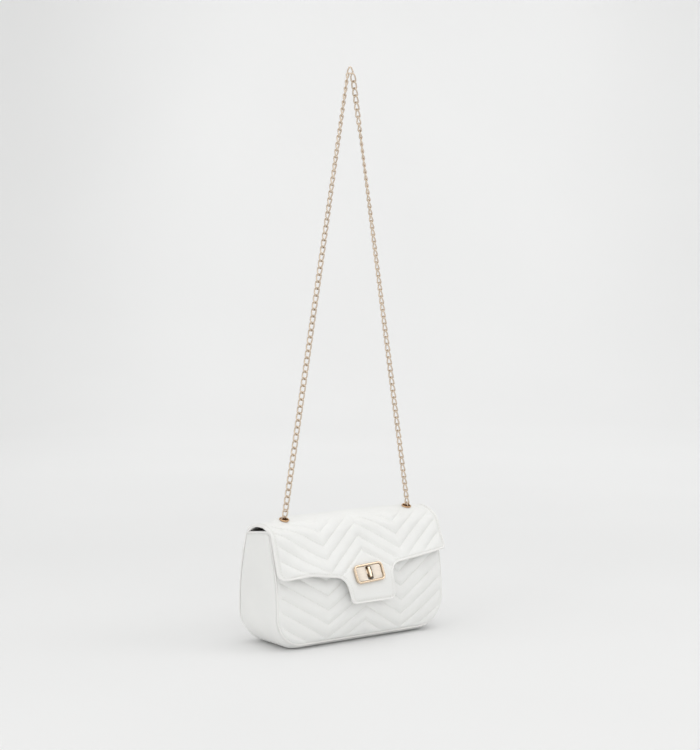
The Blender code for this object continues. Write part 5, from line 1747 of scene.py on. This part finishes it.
def tab_leather(side, word):
    """The leather tab, wrapped round the D-ring's straight bar."""
    centre = ring_middle(side)
    radius = RING_WIRE_RADIUS + GAP + TAB_THICKNESS / 2
    turns = [TAB_WRAP * step / TAB_WRAP_STEPS for step in range(TAB_WRAP_STEPS + 1)]
    wrap = [Vector((radius * cos(turn), radius * sin(turn))) for turn in turns]
    strip = divided([Vector((radius, -TAB_LENGTH)), *wrap], TAB_SPACING)

    def place(column, row):
        spot = strip[row]
        across = TAB_WIDTH * (column / TAB_COLUMNS - 0.5)
        return centre + Vector((side * spot.x, across, spot.y))

    work = draped_grid(TAB_COLUMNS, len(strip) - 1, place)
    tab = piece_from(work, f"tab_leather_{word}", "edge", TAB_SHARP)
    shell = tab.modifiers.new("thickness", "SOLIDIFY")
    shell.thickness = TAB_THICKNESS
    shell.offset = 0.0
    edge = tab.modifiers.new("rounded edges", "BEVEL")
    edge.width = TAB_ROUND
    edge.segments = 3
    settle(tab)
    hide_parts(f"ring_tab_{word}")
    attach(tab, "bag")


def rivet_cap(side, word):
    """The domed rivet that holds the tab to the gusset."""
    face = ring_middle(side) + Vector((side * RING_WIRE_RADIUS, 0.0, -TAB_LENGTH + RIVET_RAISE))
    matrix = Matrix.Translation(face) @ Matrix.Rotation(-side * pi / 2, 4, "Y")
    work = bmesh.new()
    turned(work, dome_profile(RIVET_RADIUS, RIVET_DOME), matrix, SMALL_TURN_STEPS)
    rivet = piece_from(work, f"rivet_cap_{word}", "gold", TURNED_SHARP)
    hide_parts(f"tab_rivet_{word}")
    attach(rivet, "bag")


# Operators, one for each group of pieces

class HandbagStage(bpy.types.Operator):
    """Make the paper floor and backdrop, the lamps and the camera."""

    bl_idname = "handbag.stage"
    bl_label = "Stage, lamps and camera"

    def execute(self, context):
        context.scene.view_settings.view_transform = "Standard"
        self.tent(context.scene)
        self.paper(context.scene)
        self.lamps(context.scene)
        self.camera(context.scene)
        return {"FINISHED"}

    def tent(self, scene):
        """Hang a tent of white cloth round it all, so that metal has something to show."""
        world = bpy.data.worlds.new("studio")
        scene.world = world
        world.use_nodes = True
        tree = world.node_tree
        tree.nodes.clear()
        # The cloth is bright overhead and dimmer towards the floor
        direction = node(tree, "ShaderNodeTexCoord").outputs["Generated"]
        height = node(tree, "ShaderNodeSeparateXYZ", links={"Vector": direction}).outputs["Z"]
        low, high = TENT_HEIGHTS
        spread = node(tree, "ShaderNodeMapRange", {"From Min": low, "From Max": high}, {"Value": height})
        cloth = shades(tree, spread.outputs["Result"], linear(0xC6C7C6), linear(0xFFFFFE), 0.0, 1.0)
        light = node(tree, "ShaderNodeBackground", {"Strength": TENT_LIGHT}, {"Color": cloth})
        node(tree, "ShaderNodeOutputWorld", links={"Surface": light.outputs[0]})

    def paper(self, scene):
        """Lay the paper under the bag and curve it up behind."""
        turns = [pi / 2 * step / PAPER_CURVE_STEPS for step in range(1, PAPER_CURVE_STEPS + 1)]
        curve = [(PAPER_CURVE_START + PAPER_CURVE_RADIUS * sin(turn),
                  PAPER_CURVE_RADIUS - PAPER_CURVE_RADIUS * cos(turn)) for turn in turns]
        sweep = [(PAPER_FRONT, 0.0), (PAPER_CURVE_START, 0.0), *curve,
                 (PAPER_CURVE_START + PAPER_CURVE_RADIUS, PAPER_TOP)]
        work = bmesh.new()
        rows = [[work.verts.new((x, y, z)) for x in (-PAPER_HALF_WIDTH, PAPER_HALF_WIDTH)] for y, z in sweep]
        for row, after in zip(rows, rows[1:]):
            work.faces.new((row[0], row[1], after[1], after[0]))
        mesh = bpy.data.meshes.new("studio_paper")
        work.to_mesh(mesh)
        work.free()
        mesh.shade_smooth()
        mesh.materials.append(studio_paper("studio paper matt", colours().floor))
        sheet = bpy.data.objects.new("studio_paper", mesh)
        scene.collection.objects.link(sheet)
        sheet.rotation_euler.z = PAPER_TURN

    def lamps(self, scene):
        """Hang the round lamps."""
        for name, place, width, power in LAMPS:
            lamp = bpy.data.lights.new(name, "AREA")
            lamp.shape = "DISK"
            lamp.size = width
            lamp.energy = power
            placed = bpy.data.objects.new(name, lamp)
            scene.collection.objects.link(placed)
            placed.location = place
            placed.rotation_euler = (Vector(LAMP_AIM) - Vector(place)).to_track_quat("-Z", "Y").to_euler()

    def camera(self, scene):
        """Set up the camera."""
        data = bpy.data.cameras.new("camera")
        data.lens = CAMERA_LENS
        data.sensor_width = SENSOR
        camera = bpy.data.objects.new("camera", data)
        scene.collection.objects.link(camera)
        camera.location = CAMERA_PLACE
        camera.rotation_euler = (-Vector(CAMERA_BACK)).to_track_quat("-Z", "Y").to_euler()
        scene.camera = camera


class HandbagBody(bpy.types.Operator):
    """Make the quilted panels, the gusset, the piping and the mouth's edge."""

    bl_idname = "handbag.body"
    bl_label = "Body leather"

    def execute(self, context):
        for name, node_name, side, amount in (("front_panel_leather", "front_panel", -1, FRONT_BULGE),
                                              ("back_panel_leather", "back_panel", 1, BACK_BULGE)):
            panel = quilted_panel(name, side, amount)
            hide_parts(node_name)
            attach(panel, "bag")
        gusset = gusset_sheet()
        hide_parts("gusset")
        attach(gusset, "bag")
        for name, node_name, side in (("front_piping", "front_welt", -1), ("back_piping", "back_welt", 1)):
            piping = seam_piping(name, side)
            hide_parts(node_name)
            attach(piping, "bag")
        edge = mouth_edge()
        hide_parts("mouth_binding")
        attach(edge, "bag")
        return {"FINISHED"}


class HandbagInside(bpy.types.Operator):
    """Make the lining and its pocket, and finish the base board."""

    bl_idname = "handbag.inside"
    bl_label = "Lining and pocket"

    def execute(self, context):
        lining = lining_bag()
        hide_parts("lining")
        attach(lining, "bag")
        pocket = slip_pocket_cloth()
        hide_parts("slip_pocket")
        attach(pocket, "bag")
        dress("base_board", "board")
        return {"FINISHED"}


class HandbagFlap(bpy.types.Operator):
    """Make the flap's quilted leather, its inside and its rolled edge."""

    bl_idname = "handbag.flap"
    bl_label = "Flap leather"

    def execute(self, context):
        outside = flap_leather()
        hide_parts("flap_front", "flap_yoke")
        inside = flap_underside()
        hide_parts("flap_lining", "yoke_lining")
        roll = flap_rolled_edge()
        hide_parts("flap_piping", "yoke_piping_left", "yoke_piping_right")
        for piece in (outside, inside, roll):
            bend_with_flap(piece)
        return {"FINISHED"}


class HandbagStitching(bpy.types.Operator):
    """Sew the stitches in the quilting and round the flap."""

    bl_idname = "handbag.stitching"
    bl_label = "Stitching"

    def execute(self, context):
        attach(panel_stitching("front_panel_stitching", -1, FRONT_BULGE), "bag")
        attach(panel_stitching("back_panel_stitching", 1, BACK_BULGE), "bag")
        bend_with_flap(flap_stitching())
        return {"FINISHED"}


class HandbagLock(bpy.types.Operator):
    """Make the turn lock: its rim, bare plate, back plate, screws, base and knob."""

    bl_idname = "handbag.lock"
    bl_label = "Turn lock"

    def execute(self, context):
        low, high = extent("lock_frame", LOCK)
        opening = lock_opening()
        width, height = high.x - low.x, high.y - low.y
        slot = rectangle(SLOT_WIDTH, opening.y - 2 * SLOT_END, SLOT_CORNER)
        hole = rectangle(*opening, LOCK_CORNER - LOCK_BORDER)
        rim = plate("lock_rim", rectangle(width, height, LOCK_CORNER), low.z, high.z, LOCK, "gold",
                    RIM_ROUND, [hole])
        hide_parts("lock_frame")
        low, high = extent("lock_plate", LOCK)
        face = plate("lock_face", rectangle(opening.x - GAP, opening.y - GAP, LOCK_CORNER - LOCK_BORDER),
                     low.z, high.z + PLATE_RISE, LOCK, "plate", SHEET_ROUND, [slot])
        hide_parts("lock_plate")
        low, high = extent("lock_back_plate", LOCK)
        back = plate("lock_back", rectangle(*opening, LOCK_CORNER / 2), low.z, high.z, LOCK, "gold",
                     SHEET_ROUND, [slot])
        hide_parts("lock_back_plate")
        for piece in (rim, face, back):
            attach(piece, "flap")
        for word in ("left", "right"):
            screw_head(word, low.z)
        self.knob()
        dress("lock_washer", "gold")
        return {"FINISHED"}

    def knob(self):
        """Make the base on the front panel and the bar that turns in it."""
        low, high = extent("lock_knob", LOCK)
        centre = LOCK @ Matrix.Translation((0.0, (low.y + high.y) / 2, 0.0))
        length = high.y - low.y + BAR_EXTRA_LENGTH
        low, high = extent("lock_base", centre)
        width, height, seat = high.x - low.x, high.y - low.y, low.z
        base = plate("lock_foot", rectangle(width, height, height / 3), seat, seat + LOCK_BASE_THICKNESS,
                     centre, "gold", SHEET_ROUND)
        work = bmesh.new()
        turned(work, [(BOSS_RADIUS, seat + GAP), (BOSS_RADIUS, KNOB_BOTTOM - 2 * GAP),
                      (BOSS_RADIUS - GAP, KNOB_BOTTOM - GAP), (STEM_RADIUS + GAP, KNOB_BOTTOM - GAP),
                      (STEM_RADIUS + GAP, seat + GAP)], centre, BOSS_STEPS)
        merge_into(base, work)
        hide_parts("lock_base")
        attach(base, "bag")
        outline = rectangle(BAR_WIDTH, length, BAR_WIDTH / BAR_WIDTH_TO_CORNER, (0.0, -BAR_DROP))
        bar = plate("lock_bar", outline, KNOB_BOTTOM, KNOB_BOTTOM + BAR_THICKNESS, centre, "gold", BAR_ROUND)
        work = bmesh.new()
        turned(work, [(0.0, KNOB_BOTTOM + GAP), (STEM_RADIUS - GAP, KNOB_BOTTOM + GAP),
                      (STEM_RADIUS - GAP, seat + GAP), (0.0, seat + GAP)], centre, SMALL_TURN_STEPS)
        merge_into(bar, work)
        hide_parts("lock_knob")
        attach(bar, "turn_knob")


class HandbagEyelets(bpy.types.Operator):
    """Make the two eyelets and the washers under them."""

    bl_idname = "handbag.eyelets"
    bl_label = "Eyelets"

    def execute(self, context):
        for side, word in ((-1, "left"), (1, "right")):
            ring = eyelet_ring(side, word)
            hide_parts(f"eyelet_{word}")
            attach(ring, "bag")
            washer = eyelet_back(side, word)
            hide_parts(f"eyelet_washer_{word}")
            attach(washer, "bag")
        return {"FINISHED"}


class HandbagStrap(bpy.types.Operator):
    """Link the two strands of the strap, their inner ends and the link at the top."""

    bl_idname = "handbag.strap"
    bl_label = "Chain strap"

    def execute(self, context):
        strand(-1, "left", [top_link()])
        strand(1, "right")
        return {"FINISHED"}


class HandbagAnchors(bpy.types.Operator):
    """Make the D-rings, tabs and rivets that hold the strap inside."""

    bl_idname = "handbag.anchors"
    bl_label = "Strap anchorage"

    def execute(self, context):
        for side, word in ((-1, "left"), (1, "right")):
            d_ring_wire(side, word)
            tab_leather(side, word)
            rivet_cap(side, word)
        return {"FINISHED"}


class HandbagPanel(bpy.types.Panel):
    """Lists the operators and the sizes and colours they use."""

    bl_idname = "VIEW3D_PT_handbag"
    bl_label = "Quilted handbag"
    bl_space_type = "VIEW_3D"
    bl_region_type = "UI"
    bl_category = "Handbag"

    def draw(self, context):
        layout = self.layout
        for operator in OPERATORS:
            layout.operator(operator.bl_idname)
        for group in (context.scene.handbag_sizes, context.scene.handbag_colours):
            box = layout.box()
            for name in group.__annotations__:
                box.prop(group, name)


OPERATORS = (HandbagStage, HandbagBody, HandbagInside, HandbagFlap, HandbagStitching, HandbagLock,
             HandbagEyelets, HandbagStrap, HandbagAnchors)
CLASSES = (HandbagSizes, HandbagColours, *OPERATORS, HandbagPanel)


def register():
    """Register the classes and hang the settings on the scene."""
    for item in CLASSES:
        bpy.utils.register_class(item)
    bpy.types.Scene.handbag_sizes = PointerProperty(type=HandbagSizes)
    bpy.types.Scene.handbag_colours = PointerProperty(type=HandbagColours)


def unregister():
    """Take the settings and the classes away again."""
    del bpy.types.Scene.handbag_sizes
    del bpy.types.Scene.handbag_colours
    for item in reversed(CLASSES):
        bpy.utils.unregister_class(item)


def main():
    """Make the whole bag."""
    register()
    bpy.ops.handbag.stage()
    bpy.ops.handbag.body()
    bpy.ops.handbag.inside()
    bpy.ops.handbag.flap()
    bpy.ops.handbag.stitching()
    bpy.ops.handbag.lock()
    bpy.ops.handbag.eyelets()
    bpy.ops.handbag.strap()
    bpy.ops.handbag.anchors()


if __name__ == "__main__":
    main()
